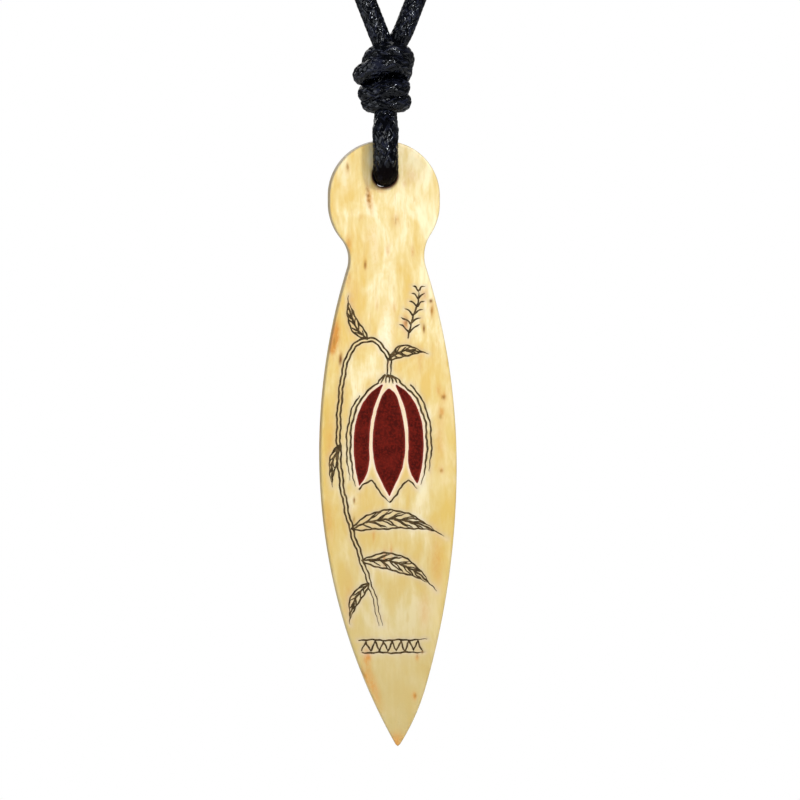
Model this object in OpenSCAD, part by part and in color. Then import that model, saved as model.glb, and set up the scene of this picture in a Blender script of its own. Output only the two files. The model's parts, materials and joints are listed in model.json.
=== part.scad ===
// A flat bone pendant on a waxed cord necklace, hanging as it does when it is worn.
// The origin is the middle of the cord at the nape of the neck. +X is to the viewer's
// right, the front of the pendant faces -Y, and +Z is up. All sizes are in millimetres.

/* [Pendant] */
// Thickness of the bone plate at the top of its head
head_t = 3.6; // [3:0.1:4.2]
// Thickness of the bone plate at its tip
tip_t = 2.4; // [1.8:0.1:3.6]
// Radius of the rounding along the plate's rim
rim_r = 0.4; // [0.2:0.1:0.8]
// Radius of the round head
head_r = 5.6; // [5.2:0.05:6]
// Straight stretch between the upper and lower half of the head
head_straight = 0.8; // [0.4:0.1:1.2]
// Height of the head's top above the centre of the hole
head_top = 3.45; // [3.2:0.05:3.8]
// Diameter of the hole for the cord
hole_d = 2.5; // [2.4:0.1:3]
// Radius of the hollow between head and body on the left
neck_r_left = 3.2; // [3:0.1:4]
// Radius of the hollow between head and body on the right
neck_r_right = 3.9; // [3:0.1:4.4]
// Radius of the body's left edge above its widest place
shoulder_r_left = 64; // [58:0.5:70]
// Radius of the body's left edge below its widest place
flank_r_left = 61.4; // [58:0.1:66]
// Distance from the hole's centre line to the body's left edge at its widest
body_w_left = 6.5; // [6.2:0.1:7]
// Depth of the left edge's widest place below the hole
widest_left = 28.45; // [27:0.05:30]
// Radius of the body's right edge above its widest place
shoulder_r_right = 67.5; // [64:0.5:76]
// Radius of the body's right edge below its widest place
flank_r_right = 82.5; // [76:0.1:88]
// Distance from the hole's centre line to the body's right edge at its widest
body_w_right = 7.4; // [7:0.05:7.8]
// Depth of the right edge's widest place below the hole
widest_right = 29.85; // [29:0.05:32]
// Radius of the right edge where it turns in towards the tip
turn_in_r = 22.7; // [18:0.1:40]
// Depth of the start of that turn below the right edge's widest place
turn_in_drop = 22.4; // [20:0.1:25]
// Radius of the tip
tip_r = 0.2; // [0.2:0.1:1]
// Turn that brings the plate's centre of mass straight below the hole
hang_turn = 1.06; // [0:0.01:2]

/* [Cord] */
// Diameter of the neck cord
cord_d = 2; // [1.6:0.1:2.2]
// Width of the relaxed cord in the loop, outside the hole
bail_w = 2.5; // [2.2:0.05:2.5]
// Thickness of the relaxed cord in the loop, outside the hole
bail_t = 2.3; // [2:0.05:2.3]
// Diameter of the cord inside the hole, where the bone pinches it
bore_cord_d = 2.2; // [1.8:0.1:2.2]
// Space between the cord and the bone at the top of the hole
seat_gap = 0.1; // [0.05:0.05:0.15]
// Gap between pieces of cord that follow each other
joint_gap = 0.15; // [0.05:0.05:0.2]

/* [Nape knot] */
// Number of turns of cord in the closing knot
nape_turns = 3; // [2:1:5]
// Radius of the middle line of the turns
nape_wrap_r = 1.8; // [1.6:0.1:2.2]

/* [Hidden] */

// Colours of the bone and of the waxed cord
bone_colour = [0.93, 0.86, 0.68];
cord_colour = [0.13, 0.14, 0.18];
loop_colour = [0.20, 0.21, 0.27];
knot_colour = [0.17, 0.17, 0.23];

// Resolution: points on the outline's round stretches, sides and rings of the cord
head_steps = 16;
neck_steps = 6;
side_steps = 8;
tip_steps = 6;
rim_steps = 3;
cord_sides = 8;
bail_sides = 12;
cord_substeps = 2;
knot_substeps = 2;
ball_sides = 8;
slip = 0.01;
least_tip_r = 0.05;

// Centre of the hole, and middle of the pendant knot
hole_at = [0, -125, -200];
knot_at = [0.2, -125, -190.25];

// Small vector helpers
function unit(v) = v / norm(v);
function turn_in_front(p, a) = [p.x * cos(a) + p.y * sin(a), p.y * cos(a) - p.x * sin(a)];
function heading(v) = atan2(v.y, v.x);

// The crossing point of two circles that lies furthest along the given direction
function meet(c1, r1, c2, r2, toward) =
    let (d = c2 - c1, len_d = norm(d), a = (r1 * r1 - r2 * r2 + len_d * len_d) / (2 * len_d))
    let (h = sqrt(r1 * r1 - a * a), foot = c1 + d * a / len_d, side = [-d.y, d.x] / len_d)
    (side * toward > 0) ? foot + side * h : foot - side * h;

// Points on a round stretch, its last one left out because the next stretch starts there
function arc(c, r, from, to, steps) =
    [for (k = [0 : steps - 1]) let (a = from + (to - from) * k / steps) c + r * [cos(a), sin(a)]];

// Centres of the round stretches of the outline, [across, up] from the centre of the hole
upper_c = [0, head_top - head_r];
lower_c = upper_c - [0, head_straight];
left_shoulder_c = [shoulder_r_left - body_w_left, -widest_left];
left_flank_c = [flank_r_left - body_w_left, -widest_left];
right_shoulder_c = [body_w_right - shoulder_r_right, -widest_right];
right_flank_c = [body_w_right - flank_r_right, -widest_right];
turn_in_a = asin(turn_in_drop / flank_r_right);
right_turn_c = right_flank_c + (flank_r_right - turn_in_r) * [cos(turn_in_a), -sin(turn_in_a)];
left_neck_c =
    meet(lower_c, head_r + neck_r_left, left_shoulder_c, shoulder_r_left + neck_r_left, [-1, 0]);
right_neck_c =
    meet(lower_c, head_r + neck_r_right, right_shoulder_c, shoulder_r_right + neck_r_right, [1, 0]);

// The tip's radius and centre when the outline is drawn in
function drawn_tip_r(inset) = max(tip_r - inset, least_tip_r);
function drawn_tip_c(inset) =
    meet(left_flank_c, flank_r_left - inset - drawn_tip_r(inset),
        right_turn_c, turn_in_r - inset - drawn_tip_r(inset), [0, -1]);

// The plate's outline, drawn in by an inset: outward stretches shrink, hollows grow
function outline(inset) =
    let (tip_c = drawn_tip_c(inset))
    concat(
        arc(upper_c, head_r - inset, 0, 180, head_steps),
        arc(lower_c, head_r - inset, 180, 360 + heading(left_neck_c - lower_c), neck_steps),
        arc(left_neck_c, neck_r_left + inset, heading(lower_c - left_neck_c),
            heading(left_shoulder_c - left_neck_c), neck_steps),
        arc(left_shoulder_c, shoulder_r_left - inset,
            heading(left_neck_c - left_shoulder_c), 180, side_steps),
        arc(left_flank_c, flank_r_left - inset,
            180, 360 + heading(tip_c - left_flank_c), side_steps),
        arc(tip_c, drawn_tip_r(inset),
            heading(tip_c - left_flank_c), heading(tip_c - right_turn_c), tip_steps),
        arc(right_turn_c, turn_in_r - inset,
            heading(tip_c - right_turn_c), -turn_in_a, tip_steps),
        arc(right_flank_c, flank_r_right - inset, -turn_in_a, 0, side_steps),
        arc(right_shoulder_c, shoulder_r_right - inset,
            0, heading(right_neck_c - right_shoulder_c), side_steps),
        arc(right_neck_c, neck_r_right + inset, 360 + heading(right_shoulder_c - right_neck_c),
            heading(lower_c - right_neck_c), neck_steps),
        arc(lower_c, head_r - inset, heading(right_neck_c - lower_c), 0, neck_steps));

// The plate grows evenly thinner from the top of the head to the tip
function plate_t(up) =
    let (tip_up = drawn_tip_c(0).y - tip_r)
    tip_t + (head_t - tip_t) * (up - tip_up) / (head_top - tip_up);

// One ring round the plate: face is 1 at the back and -1 at the front, a is the angle round the rim
function rim_ring(face, a) =
    let (inset = rim_r * (1 - cos(a)), sunk = rim_r * (1 - sin(a)))
    [for (p = outline(inset)) let (q = turn_in_front(p, hang_turn))
        [q.x, face * (plate_t(p.y) / 2 - sunk), q.y]];

// Closed skin over rings of equal size, with a flat cap at both ends
module skin(rings) {
    sides = len(rings[0]);
    count = len(rings);
    walls = [for (i = [0 : count - 2], j = [0 : sides - 1])
        let (next = (j + 1) % sides)
        [i * sides + j, (i + 1) * sides + j, (i + 1) * sides + next, i * sides + next]];
    first_cap = [[for (j = [0 : sides - 1]) j]];
    last_cap = [[for (j = [sides - 1 : -1 : 0]) (count - 1) * sides + j]];
    polyhedron([for (ring = rings) for (p = ring) p], concat(walls, first_cap, last_cap));
}

// A smooth curve through the points, with equal steps between each two of them
function between(p, q, r, s, t) =
    0.5 * (2 * q + (r - p) * t + (2 * p - 5 * q + 4 * r - s) * t * t
        + (3 * q - p - 3 * r + s) * t * t * t);
function smooth(pts, steps) =
    let (last = len(pts) - 1)
    concat([for (i = [0 : last - 1]) for (k = [0 : steps - 1])
        between(i == 0 ? 2 * pts[0] - pts[1] : pts[i - 1], pts[i], pts[i + 1],
            i == last - 1 ? 2 * pts[last] - pts[last - 1] : pts[i + 2], k / steps)], [pts[last]]);

// Directions along a path, and side directions carried along it without twisting
function directions(path) =
    let (last = len(path) - 1)
    [for (i = [0 : last]) unit(path[min(i + 1, last)] - path[max(i - 1, 0)])];
function square_to(v, along) = unit(v - along * (v * along));
function sides_along(dirs, start) =
    [for (i = 0, s = square_to(start, dirs[0]); i < len(dirs);
        i = i + 1, s = i < len(dirs) ? square_to(s, dirs[i]) : s) s];

// A cord of oval section swept along a path. Its width and its thickness are each one
// number, or a list with a number for each point of the path
function size_at(size, i) = is_list(size) ? size[i] : size;
module cord(path, wide, thick, sides, start) {
    dirs = directions(path);
    across = sides_along(dirs, start);
    skin([for (i = [0 : len(path) - 1])
        let (over = cross(dirs[i], across[i]), w = size_at(wide, i) / 2, t = size_at(thick, i) / 2)
        [for (j = [0 : sides - 1]) let (a = 360 * j / sides)
            path[i] + across[i] * cos(a) * w + over * sin(a) * t]]);
}

// Width of the closing knot's turns, and where the neck cord starts beside it
turns_w = nape_turns * cord_d;
nape_end = turns_w / 2 + 2 * joint_gap;

// Route of the neck cord on the viewer's right, from the nape down to the pendant knot
right_route = [
    [12, -1, -0.5], [23, -5, -2.2], [33, -11, -4.8], [42.5, -20, -8.2], [50, -31.5, -12.5],
    [55, -45, -17.5], [57, -59, -24.5], [56, -71.5, -34.5], [53, -82, -51], [47.5, -90, -71],
    [38.5, -98, -96.5], [27.4, -107, -124.5], [15.4, -116.4, -154.5]];

// The same on the viewer's left: it meets the knot a little steeper
left_route = [
    [-12, -1, -0.5], [-23, -5, -2.2], [-33, -11, -4.8], [-42.5, -20, -8.2], [-50, -31.5, -12.5],
    [-55, -45, -17.5], [-57, -59, -24.5], [-55.5, -71.5, -34.5], [-51, -82, -51], [-44.2, -90, -71],
    [-34, -98, -96.5], [-22.7, -107, -124.5], [-11.1, -116.4, -154.5]];

// Strands in the pendant knot, from the middle of the knot. Each comes down from the neck
// into the core, turns out at the bottom, goes round the core twice on the way up and once
// round the back on the way down, and leaves into the loop through the pendant
left_strand = [
    [-1.8, 0.2, 8.2], [-0.55, -0.5, 4.7], [0, -0.5, 3.2], [0, -0.1, 1.6], [-0.1, 0.1, 0.2],
    [-0.5, 0.5, -0.8], [-1.3, 0.5, -1.3], [-1.75, -0.4, -1.5], [-0.8, -1.4, -1.4], [0.6, -1.6, -1.1],
    [1.5, -0.9, -1.0], [1.5, 0.5, -0.7], [0.2, 1.7, -0.2], [-1.5, 1.1, 0.2], [-2.2, -0.1, 0.4],
    [-1.5, -1.4, 0.9], [0, -1.9, 1.5], [1.4, -1.4, 1.5], [1.9, -0.1, 0.7], [1.3, 1.1, -0.2],
    [0, 1.4, -1.2], [-0.3, 0.3, -1.9], [-0.1, -0.75, -2.6], [-0.1, -1.2, -3.6]];
right_strand = [
    [3.55, 0.9, 8.2], [2.05, 0.2, 4.7], [1.2, 0.4, 3.2], [0.8, 0.6, 1.6], [0.7, 0.6, 0],
    [0.3, 0.8, -1.4], [-0.7, 0.7, -2.1], [-1.45, -0.2, -2.4], [-0.5, -1.3, -2.5], [0.8, -1.3, -2.4],
    [1.75, -0.3, -2.4], [1.2, 1.2, -1.8], [0, 1.9, -0.8], [-1.1, 1.4, 0.9], [-1.05, 0, 2.1],
    [-0.4, -1.2, 2.5], [0.9, -1.5, 2.7], [1.9, -0.8, 2.3], [2.1, 0.4, 1.6], [1.3, 1.6, 0.5],
    [0.3, 1.5, -1.0], [0.3, 0.75, -2.4], [0.3, 1.2, -3.6]];

// Middle line of the knot's core, where the strands press together and leave no hollow
knot_core = [[0.75, -0.1, -1.9], [0.8, -0.3, 1.7]];

// Where a strand's two ends leave the pendant knot, a joint gap beyond the strand itself
function top_exit(path) = knot_at + path[0] + joint_gap * unit(path[0] - path[1]);
function bottom_exit(path) =
    let (last = len(path) - 1)
    knot_at + path[last] + joint_gap * unit(path[last] - path[last - 1]);

// Loop through the hole, from the centre of the hole: out of the knot in front, under the
// bridge of bone and up again behind
bail_z = hole_d / 2 - seat_gap - bore_cord_d / 2;
bail_y = head_t / 2 + seat_gap + bail_t / 2;
front_arm = [[0.1, -1.5, 5.45], [0, -2.15, 4.95], [0, -2.8, 4.35], [0, -bail_y, 3.5], [0, -bail_y, 2.6],
    [0, -bail_y, 1.8], [0, -3, 1.1], [0, -2.65, 0.4], [0, -2.1, 0.1], [0, -1.5, bail_z]];
back_arm = [[0, 1.5, bail_z], [0, 2.1, 0.1], [0, 2.65, 0.4], [0, 3, 1.1], [0.15, bail_y, 1.8],
    [0.35, bail_y, 2.6], [0.5, bail_y, 3.5], [0.55, 2.8, 4.35], [0.55, 2.15, 4.95], [0.5, 1.5, 5.45]];
bail_route = concat([bottom_exit(left_strand) - hole_at], front_arm, [[0, 0, bail_z]],
    back_arm, [bottom_exit(right_strand) - hole_at]);

// The loop's section is the bore's in the hole and at the knot, and relaxes between them
function relaxed(p) = max(0, min(1, (abs(p.y) - head_t / 2 - 3 * seat_gap) / (5 * seat_gap)));
function relaxed_sizes(full) =
    [for (p = bail_route) bore_cord_d + (full - bore_cord_d) * relaxed(p)];

module pendant() {
    color(bone_colour)
    translate(hole_at)
    difference() {
        skin(concat([for (k = [rim_steps : -1 : 0]) rim_ring(1, 90 * k / rim_steps)],
            [for (k = [0 : rim_steps]) rim_ring(-1, 90 * k / rim_steps)]));
        rotate([90, 0, 0]) cylinder(h = 2 * head_t, d = hole_d, center = true, $fn = 48);
    }
}

module bail_loop() {
    color(loop_colour)
    translate(hole_at)
    cord(bail_route, relaxed_sizes(bail_w), relaxed_sizes(bail_t), bail_sides, [1, 0, 0]);
}

// One strand as a chain of rounded links, with a flat end where it leaves the knot
module strand(path) {
    last = len(path) - 1;
    bends = smooth(path, knot_substeps);
    straight = knot_substeps;
    for (i = [straight : len(bends) - 2 - straight])
        hull() {
            translate(bends[i]) sphere(d = cord_d, $fn = ball_sides);
            translate(bends[i + 1]) sphere(d = cord_d, $fn = ball_sides);
        }
    cord([path[0], path[1]], cord_d, cord_d, cord_sides, [0, 0, 1]);
    cord([path[last - 1], path[last]], cord_d, cord_d, cord_sides, [1, 0, 0]);
}

module pendant_knot() {
    color(knot_colour)
    translate(knot_at) {
        strand(left_strand);
        strand(right_strand);
        hull()
            for (p = knot_core)
                translate(p) sphere(d = cord_d, $fn = ball_sides);
    }
}

module neck_cord_left() {
    color(cord_colour)
    cord(smooth(concat([[-nape_end, 0, 0]], left_route, [top_exit(left_strand)]), cord_substeps),
        cord_d, cord_d, cord_sides, [0, 0, 1]);
}

module neck_cord_right() {
    color(cord_colour)
    cord(smooth(concat([[nape_end, 0, 0]], right_route, [top_exit(right_strand)]), cord_substeps),
        cord_d, cord_d, cord_sides, [0, 0, 1]);
}

// Closing knot at the nape: turns of cord side by side round the two ends
module nape_knot() {
    color(knot_colour)
    rotate([0, 90, 0])
    rotate_extrude($fn = 48) {
        for (k = [0 : nape_turns - 1])
            translate([nape_wrap_r, (k + 0.5) * cord_d - turns_w / 2])
                circle(d = cord_d + slip, $fn = 32);
        translate([0, -turns_w / 2 - joint_gap]) square([cord_d / 2, turns_w + 2 * joint_gap]);
    }
}

pendant();
bail_loop();
pendant_knot();
neck_cord_left();
neck_cord_right();
nape_knot();
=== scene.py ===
"""Dresses the bone pendant necklace: one braided cord from nape to nape through the
pendant's hole, a polished bone plate with engraved lines, and a red stained bud.

Shapes are worked out in millimetres and put into the meshes in metres. The plate has a
frame of its own: across, to the viewer's right, and up, both from the centre of its hole.
"""

import json

import bmesh
import bpy
import numpy as np
from bpy.props import FloatProperty, FloatVectorProperty, IntProperty, PointerProperty
from bpy.types import Operator, Panel, PropertyGroup
from mathutils import Matrix, Vector


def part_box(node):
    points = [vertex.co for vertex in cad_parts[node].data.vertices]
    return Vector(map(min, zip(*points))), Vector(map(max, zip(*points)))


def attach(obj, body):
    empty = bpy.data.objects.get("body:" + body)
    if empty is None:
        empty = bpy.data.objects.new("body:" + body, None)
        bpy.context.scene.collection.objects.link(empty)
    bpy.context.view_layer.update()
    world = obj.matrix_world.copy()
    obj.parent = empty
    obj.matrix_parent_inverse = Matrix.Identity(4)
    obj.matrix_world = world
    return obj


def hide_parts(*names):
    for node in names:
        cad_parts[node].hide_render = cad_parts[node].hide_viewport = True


bl_info = {
    "name": "Bone Pendant Necklace",
    "version": (1, 0, 0),
    "blender": (4, 5, 0),
    "location": "3D View > Sidebar > Necklace",
    "description": "Builds a carved bone pendant on a knotted waxed cord",
    "category": "Add Mesh",
}

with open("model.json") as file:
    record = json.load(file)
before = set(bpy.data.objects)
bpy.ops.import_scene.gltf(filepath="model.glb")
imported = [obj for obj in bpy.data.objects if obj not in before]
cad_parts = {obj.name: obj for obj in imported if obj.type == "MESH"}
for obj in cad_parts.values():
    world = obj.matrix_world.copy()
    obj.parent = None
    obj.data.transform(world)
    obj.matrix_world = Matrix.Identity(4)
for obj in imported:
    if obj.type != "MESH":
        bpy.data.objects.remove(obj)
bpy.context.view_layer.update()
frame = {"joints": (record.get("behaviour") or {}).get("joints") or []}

MM = 0.001
HOLE_AT = np.array(frame["joints"][0]["pos_m"]) / MM
KNOT_AT = np.array([0.2, -125.0, -190.25])

# The cord's stretches in the order in which it runs, and the steps between two of their points
NECK_LEFT, KNOT_LEFT, LOOP_STRETCH, KNOT_RIGHT, NECK_RIGHT = range(5)
NECK_STEPS, KNOT_STEPS = 120, 24

# Least distance of the loop's surface from the plate's middle plane, at heights over the hole:
# the plate presses the loop flat there, up to where its rim reaches in a swing
FLAT_HEIGHTS = (2.4, 2.6, 3.95, 4.3, 4.5)
FLAT_DEPTHS = (0, 1.85, 1.87, 1.0, 0)

# Route of the cord, the same points as in the solids' source, in millimetres.
NAPE_END = 3.3
RIGHT_ROUTE = (
    (12, -1, -0.5), (23, -5, -2.2), (33, -11, -4.8), (42.5, -20, -8.2), (50, -31.5, -12.5),
    (55, -45, -17.5), (57, -59, -24.5), (56, -71.5, -34.5), (53, -82, -51), (47.5, -90, -71),
    (38.5, -98, -96.5), (27.4, -107, -124.5), (15.4, -116.4, -154.5))
LEFT_ROUTE = (
    (-12, -1, -0.5), (-23, -5, -2.2), (-33, -11, -4.8), (-42.5, -20, -8.2), (-50, -31.5, -12.5),
    (-55, -45, -17.5), (-57, -59, -24.5), (-55.5, -71.5, -34.5), (-51, -82, -51), (-44.2, -90, -71),
    (-34, -98, -96.5), (-22.7, -107, -124.5), (-11.1, -116.4, -154.5))
LEFT_STRAND = (
    (-1.8, 0.2, 8.2), (-0.55, -0.5, 4.7), (0, -0.5, 3.2), (0, -0.1, 1.6), (-0.1, 0.1, 0.2),
    (-0.5, 0.5, -0.8), (-1.3, 0.5, -1.3), (-1.75, -0.4, -1.5), (-0.8, -1.4, -1.4), (0.6, -1.6, -1.1),
    (1.5, -0.9, -1.0), (1.5, 0.5, -0.7), (0.2, 1.7, -0.2), (-1.5, 1.1, 0.2), (-2.2, -0.1, 0.4),
    (-1.5, -1.4, 0.9), (0, -1.9, 1.5), (1.4, -1.4, 1.5), (1.9, -0.1, 0.7), (1.3, 1.1, -0.2),
    (0, 1.4, -1.2), (-0.3, 0.3, -1.9), (-0.1, -0.75, -2.6), (-0.1, -1.2, -3.6))
RIGHT_STRAND = (
    (3.55, 0.9, 8.2), (2.05, 0.2, 4.7), (1.2, 0.4, 3.2), (0.8, 0.6, 1.6), (0.7, 0.6, 0),
    (0.3, 0.8, -1.4), (-0.7, 0.7, -2.1), (-1.45, -0.2, -2.4), (-0.5, -1.3, -2.5), (0.8, -1.3, -2.4),
    (1.75, -0.3, -2.4), (1.2, 1.2, -1.8), (0, 1.9, -0.8), (-1.1, 1.4, 0.9), (-1.05, 0, 2.1),
    (-0.4, -1.2, 2.5), (0.9, -1.5, 2.7), (1.9, -0.8, 2.3), (2.1, 0.4, 1.6), (1.3, 1.6, 0.5),
    (0.3, 1.5, -1.0), (0.3, 0.75, -2.4), (0.3, 1.2, -3.6))
LOOP = (
    (0.1, -1.5, 5.45), (0, -2.15, 4.95), (0, -2.8, 4.35), (0, -3.05, 3.5), (0, -3.05, 2.6),
    (0, -3.05, 1.8), (0, -3, 1.1), (0, -2.65, 0.4), (0, -2.1, 0.1), (0, -1.5, 0.05), (0, 0, 0.05),
    (0, 1.5, 0.05), (0, 2.1, 0.1), (0, 2.65, 0.4), (0, 3, 1.1), (0.15, 3.05, 1.8),
    (0.35, 3.05, 2.6), (0.5, 3.05, 3.5), (0.55, 2.8, 4.35), (0.55, 2.15, 4.95), (0.5, 1.5, 5.45))

# The plate's outline, the same circles as in the solids' source, in millimetres.
HEAD_T, TIP_T = 3.6, 2.4
HEAD_R, HEAD_STRAIGHT, HEAD_TOP = 5.6, 0.8, 3.45
HOLE_R = 1.25
LEFT_SIDE = {"hollow": 3.2, "shoulder": 64.0, "flank": 61.4, "width": 6.5, "widest": 28.45}
RIGHT_SIDE = {"hollow": 3.9, "shoulder": 67.5, "flank": 82.5, "width": 7.4, "widest": 29.85}
TURN_IN_R, TURN_IN_DROP = 22.7, 22.4
TIP_R, LEAST_TIP_R = 0.2, 0.05
HANG_TURN = np.radians(1.06)

# Points on each stretch of the outline, and the point numbers of hollows and tip
ON_HEAD, ON_HEAD_FOOT, ON_HOLLOW, ON_SHOULDER = 180, 60, 60, 200
ON_FLANK, ON_TIP, ON_TURN_IN, ON_RIGHT_FLANK = 300, 40, 80, 220
HOLLOW_MID_L = ON_HEAD + ON_HEAD_FOOT + ON_HOLLOW // 2
TIP_MID = ON_HEAD + ON_HEAD_FOOT + ON_HOLLOW + ON_SHOULDER + ON_FLANK + ON_TIP // 2
HOLLOW_MID_R = TIP_MID + ON_TIP // 2 + ON_TURN_IN + ON_RIGHT_FLANK + ON_SHOULDER + ON_HOLLOW // 2

# Rows and columns of the plate's faces, and rays and rings round its hole
COLUMNS, BACK_COLUMNS, ROWS, HEAD_RAYS, HEAD_RINGS = 120, 30, 440, 200, 22

# Marks in the bone: across, up, half width, half height, strength, lean in degrees.
BROWN_FLECKS = (
    (-1.7, -2.1, 0.11, 0.92, 0.75, -9), (-3.8, 0.8, 0.1, 0.31, 0.7, -5), (-2, -9.1, 0.12, 0.41, 0.6, 0),
    (-4.5, -18.7, 0.14, 0.51, 1, 4), (4.7, -12.8, 0.16, 0.18, 0.9, 0), (4.8, -13.8, 0.1, 0.41, 0.5, 0),
    (2.2, -14.9, 0.12, 0.31, 0.6, 0), (4, -15.6, 0.1, 0.35, 0.9, 0), (-4.4, -22.6, 0.09, 0.41, 0.7, 0),
    (6, -22.6, 0.16, 0.18, 0.8, 0), (5.7, -24.6, 0.12, 0.2, 0.6, 0), (5.8, -30.1, 0.14, 0.14, 0.5, 0),
    (-3.1, -33.1, 0.09, 0.29, 0.9, 0), (-3.1, -35.1, 0.09, 0.31, 0.6, 0),
    (-4.6, -31.1, 0.1, 0.12, 0.5, 0), (0, -39.4, 0.1, 0.41, 0.6, 0), (-5.4, -40.3, 0.12, 0.16, 0.5, 0),
    (1.7, -48.8, 0.09, 0.09, 0.8, 0), (3.9, -48.7, 0.09, 0.18, 0.8, 0),
    (3.4, -49.1, 0.08, 0.14, 0.4, 0), (-5.15, -16.9, 0.12, 0.5, 0.35, 6),
    (-2.1, -50.9, 0.08, 0.41, 0.5, -20), (1.1, -4.6, 0.08, 0.41, 0.3, 0),
    (3.2, -53.2, 0.1, 0.2, 0.4, 0))
ORANGE_STAINS = (
    (-1.6, -2.4, 0.27, 1.22, 0.8, -9), (-3.8, 0.7, 0.2, 0.51, 0.4, 0), (-0.5, -1.5, 0.51, 0.2, 0.7, 0),
    (1.1, -4.6, 0.41, 0.51, 0.5, 0), (2, -0.9, 0.2, 0.31, 0.3, 0), (-2.4, -4.3, 0.2, 0.31, 0.3, 0),
    (-3.7, -7, 0.26, 0.92, 0.55, 0), (2.8, -7.8, 0.2, 0.61, 0.45, 0), (0.3, -7.6, 0.2, 0.51, 0.45, 0),
    (-2, -9, 0.16, 0.51, 0.6, 0), (-3.7, -10.6, 0.24, 0.82, 0.4, 5), (-5.2, -16.5, 0.42, 1.3, 2.4, 7),
    (-4.5, -18.6, 0.24, 0.71, 0.5, 0), (4, -12.2, 0.31, 0.61, 0.5, 0), (4.8, -13.6, 0.2, 0.71, 0.7, 0),
    (2.1, -15.1, 0.24, 0.82, 0.9, 0), (1, -13.5, 0.16, 0.61, 0.4, 0), (-0.8, -13.1, 0.16, 0.61, 0.3, 0),
    (4, -15.6, 0.18, 0.51, 0.4, 0), (0.4, -19.1, 0.1, 0.51, 0.45, 0), (6, -22.5, 0.31, 0.51, 0.7, 0),
    (5.5, -21.8, 0.2, 0.51, 0.5, 0), (5.8, -24.2, 0.31, 0.71, 0.55, 0),
    (5.8, -30.1, 0.31, 0.31, 0.45, 0), (-1.1, -36.7, 0.14, 0.61, 0.5, 0), (0, -39, 0.14, 0.82, 0.8, 0),
    (0.7, -38.3, 0.12, 0.71, 0.7, 0), (4.7, -36.2, 0.2, 0.2, 0.45, 0),
    (-1.7, -49.1, 0.35, 0.71, 0.9, 0), (3.4, -49.2, 0.2, 0.35, 0.6, 0),
    (3.1, -53.2, 0.24, 0.41, 0.7, 0), (-1.2, -52, 0.46, 2.24, 0.55, -18),
    (-1.9, -51.1, 0.16, 0.82, 0.5, -18), (1.3, -57.9, 0.71, 0.82, 0.7, 0),
    (3.6, -19, 0.31, 1.02, 0.25, 0), (-3.4, -12.9, 0.41, 1.84, 0.25, 6),
    (5.6, -27.1, 0.51, 2.24, 0.3, 0), (-5.6, -27.2, 0.41, 2.65, 0.3, 0),
    (-5.7, -35.3, 0.51, 2.24, 0.3, 0), (-3.6, -43.5, 0.51, 2.04, 0.25, 0),
    (5.4, -39.4, 0.61, 2.65, 0.35, 0), (4.1, -44.5, 0.51, 1.63, 0.3, 0),
    (2.6, -0.1, 0.51, 0.82, 0.25, 0))
PALE_PATCHES = (
    (0.2, -16.4, 0.61, 3.06, 0.8, 0), (-1, -7.8, 0.51, 2.24, 0.35, 0), (0.7, -10.8, 0.41, 2.04, 0.3, 0),
    (-3.4, -33.3, 0.71, 1.12, 0.7, 0), (0.8, -39.7, 0.61, 0.82, 0.8, 0),
    (5.1, -42.6, 0.71, 0.92, 0.4, 0), (-4.6, -43.5, 0.31, 3.47, 0.6, -12),
    (5.7, -42.4, 0.31, 3.06, 0.3, 10), (1.5, -48.6, 1.02, 3.06, 0.35, 0),
    (-4.1, -0.1, 0.51, 1.43, 0.4, 0), (-1.4, -5.9, 0.71, 1.02, 0.3, 0),
    (4.1, -31.2, 0.92, 1.43, 0.45, 0), (-4.1, -28.2, 0.71, 1.22, 0.45, 0),
    (-1.4, -20.2, 1.43, 0.51, 0.5, 0), (3.6, -26.1, 0.71, 2.45, 0.25, 0),
    (-2.1, -42.5, 0.61, 1.43, 0.3, 0))

# The red bud hangs with its tips down. Rows of each petal: up, left edge, right edge.
PETALS = {
    "left": ((-21.3, -0.35, -0.15), (-22.2, -1.5, -0.5), (-23.6, -2.45, -1.05), (-25.4, -3.0, -1.45),
             (-27.4, -3.15, -1.55), (-29.2, -3.05, -1.55), (-30.6, -2.85, -1.9), (-31.6, -2.6, -2.5)),
    "middle": ((-21.7, 0.35, 0.55), (-22.4, -0.25, 1.2), (-24.0, -0.8, 1.7), (-26.0, -1.15, 2.05),
               (-28.0, -1.2, 2.1), (-30.0, -0.85, 1.75), (-31.5, -0.15, 1.1), (-32.7, 0.5, 0.55)),
    "right": ((-21.3, 1.05, 1.25), (-22.2, 1.45, 2.4), (-23.6, 2.0, 3.3), (-25.4, 2.35, 3.85),
              (-27.4, 2.45, 4.0), (-29.2, 2.4, 3.9), (-30.5, 2.75, 3.65), (-31.4, 3.3, 3.4)),
}

# The stem's middle line, and the leaves on it: base, tip, width, bend, number of veins.
STEM = ((0.5, -20.5), (0.35, -18.5), (-0.9, -16.9), (-2.7, -17.0), (-3.9, -18.9), (-4.5, -22.4),
        (-4.7, -26.6), (-4.4, -31.2), (-3.5, -35.6), (-2.2, -39.6), (-1.0, -43.2), (-0.4, -46.0))
LEAVES = (
    ((-3.4, -36.0), (5.2, -36.3), 1.9, 1.1, 9),
    ((-2.3, -39.3), (4.6, -41.6), 1.7, 0.9, 8),
    ((-1.5, -41.6), (-3.5, -45.2), 1.0, -0.5, 4),
    ((-4.6, -27.4), (-5.35, -31.2), 0.75, -0.3, 4),
    ((-1.7, -16.7), (-3.7, -12.9), 1.0, 0.5, 4),
    ((0.4, -18.7), (3.9, -18.0), 1.1, 0.5, 5),
)
TWIG = ((2.4, -16.6), (2.7, -15.0), (3.3, -13.2), (3.5, -11.6))
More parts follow.
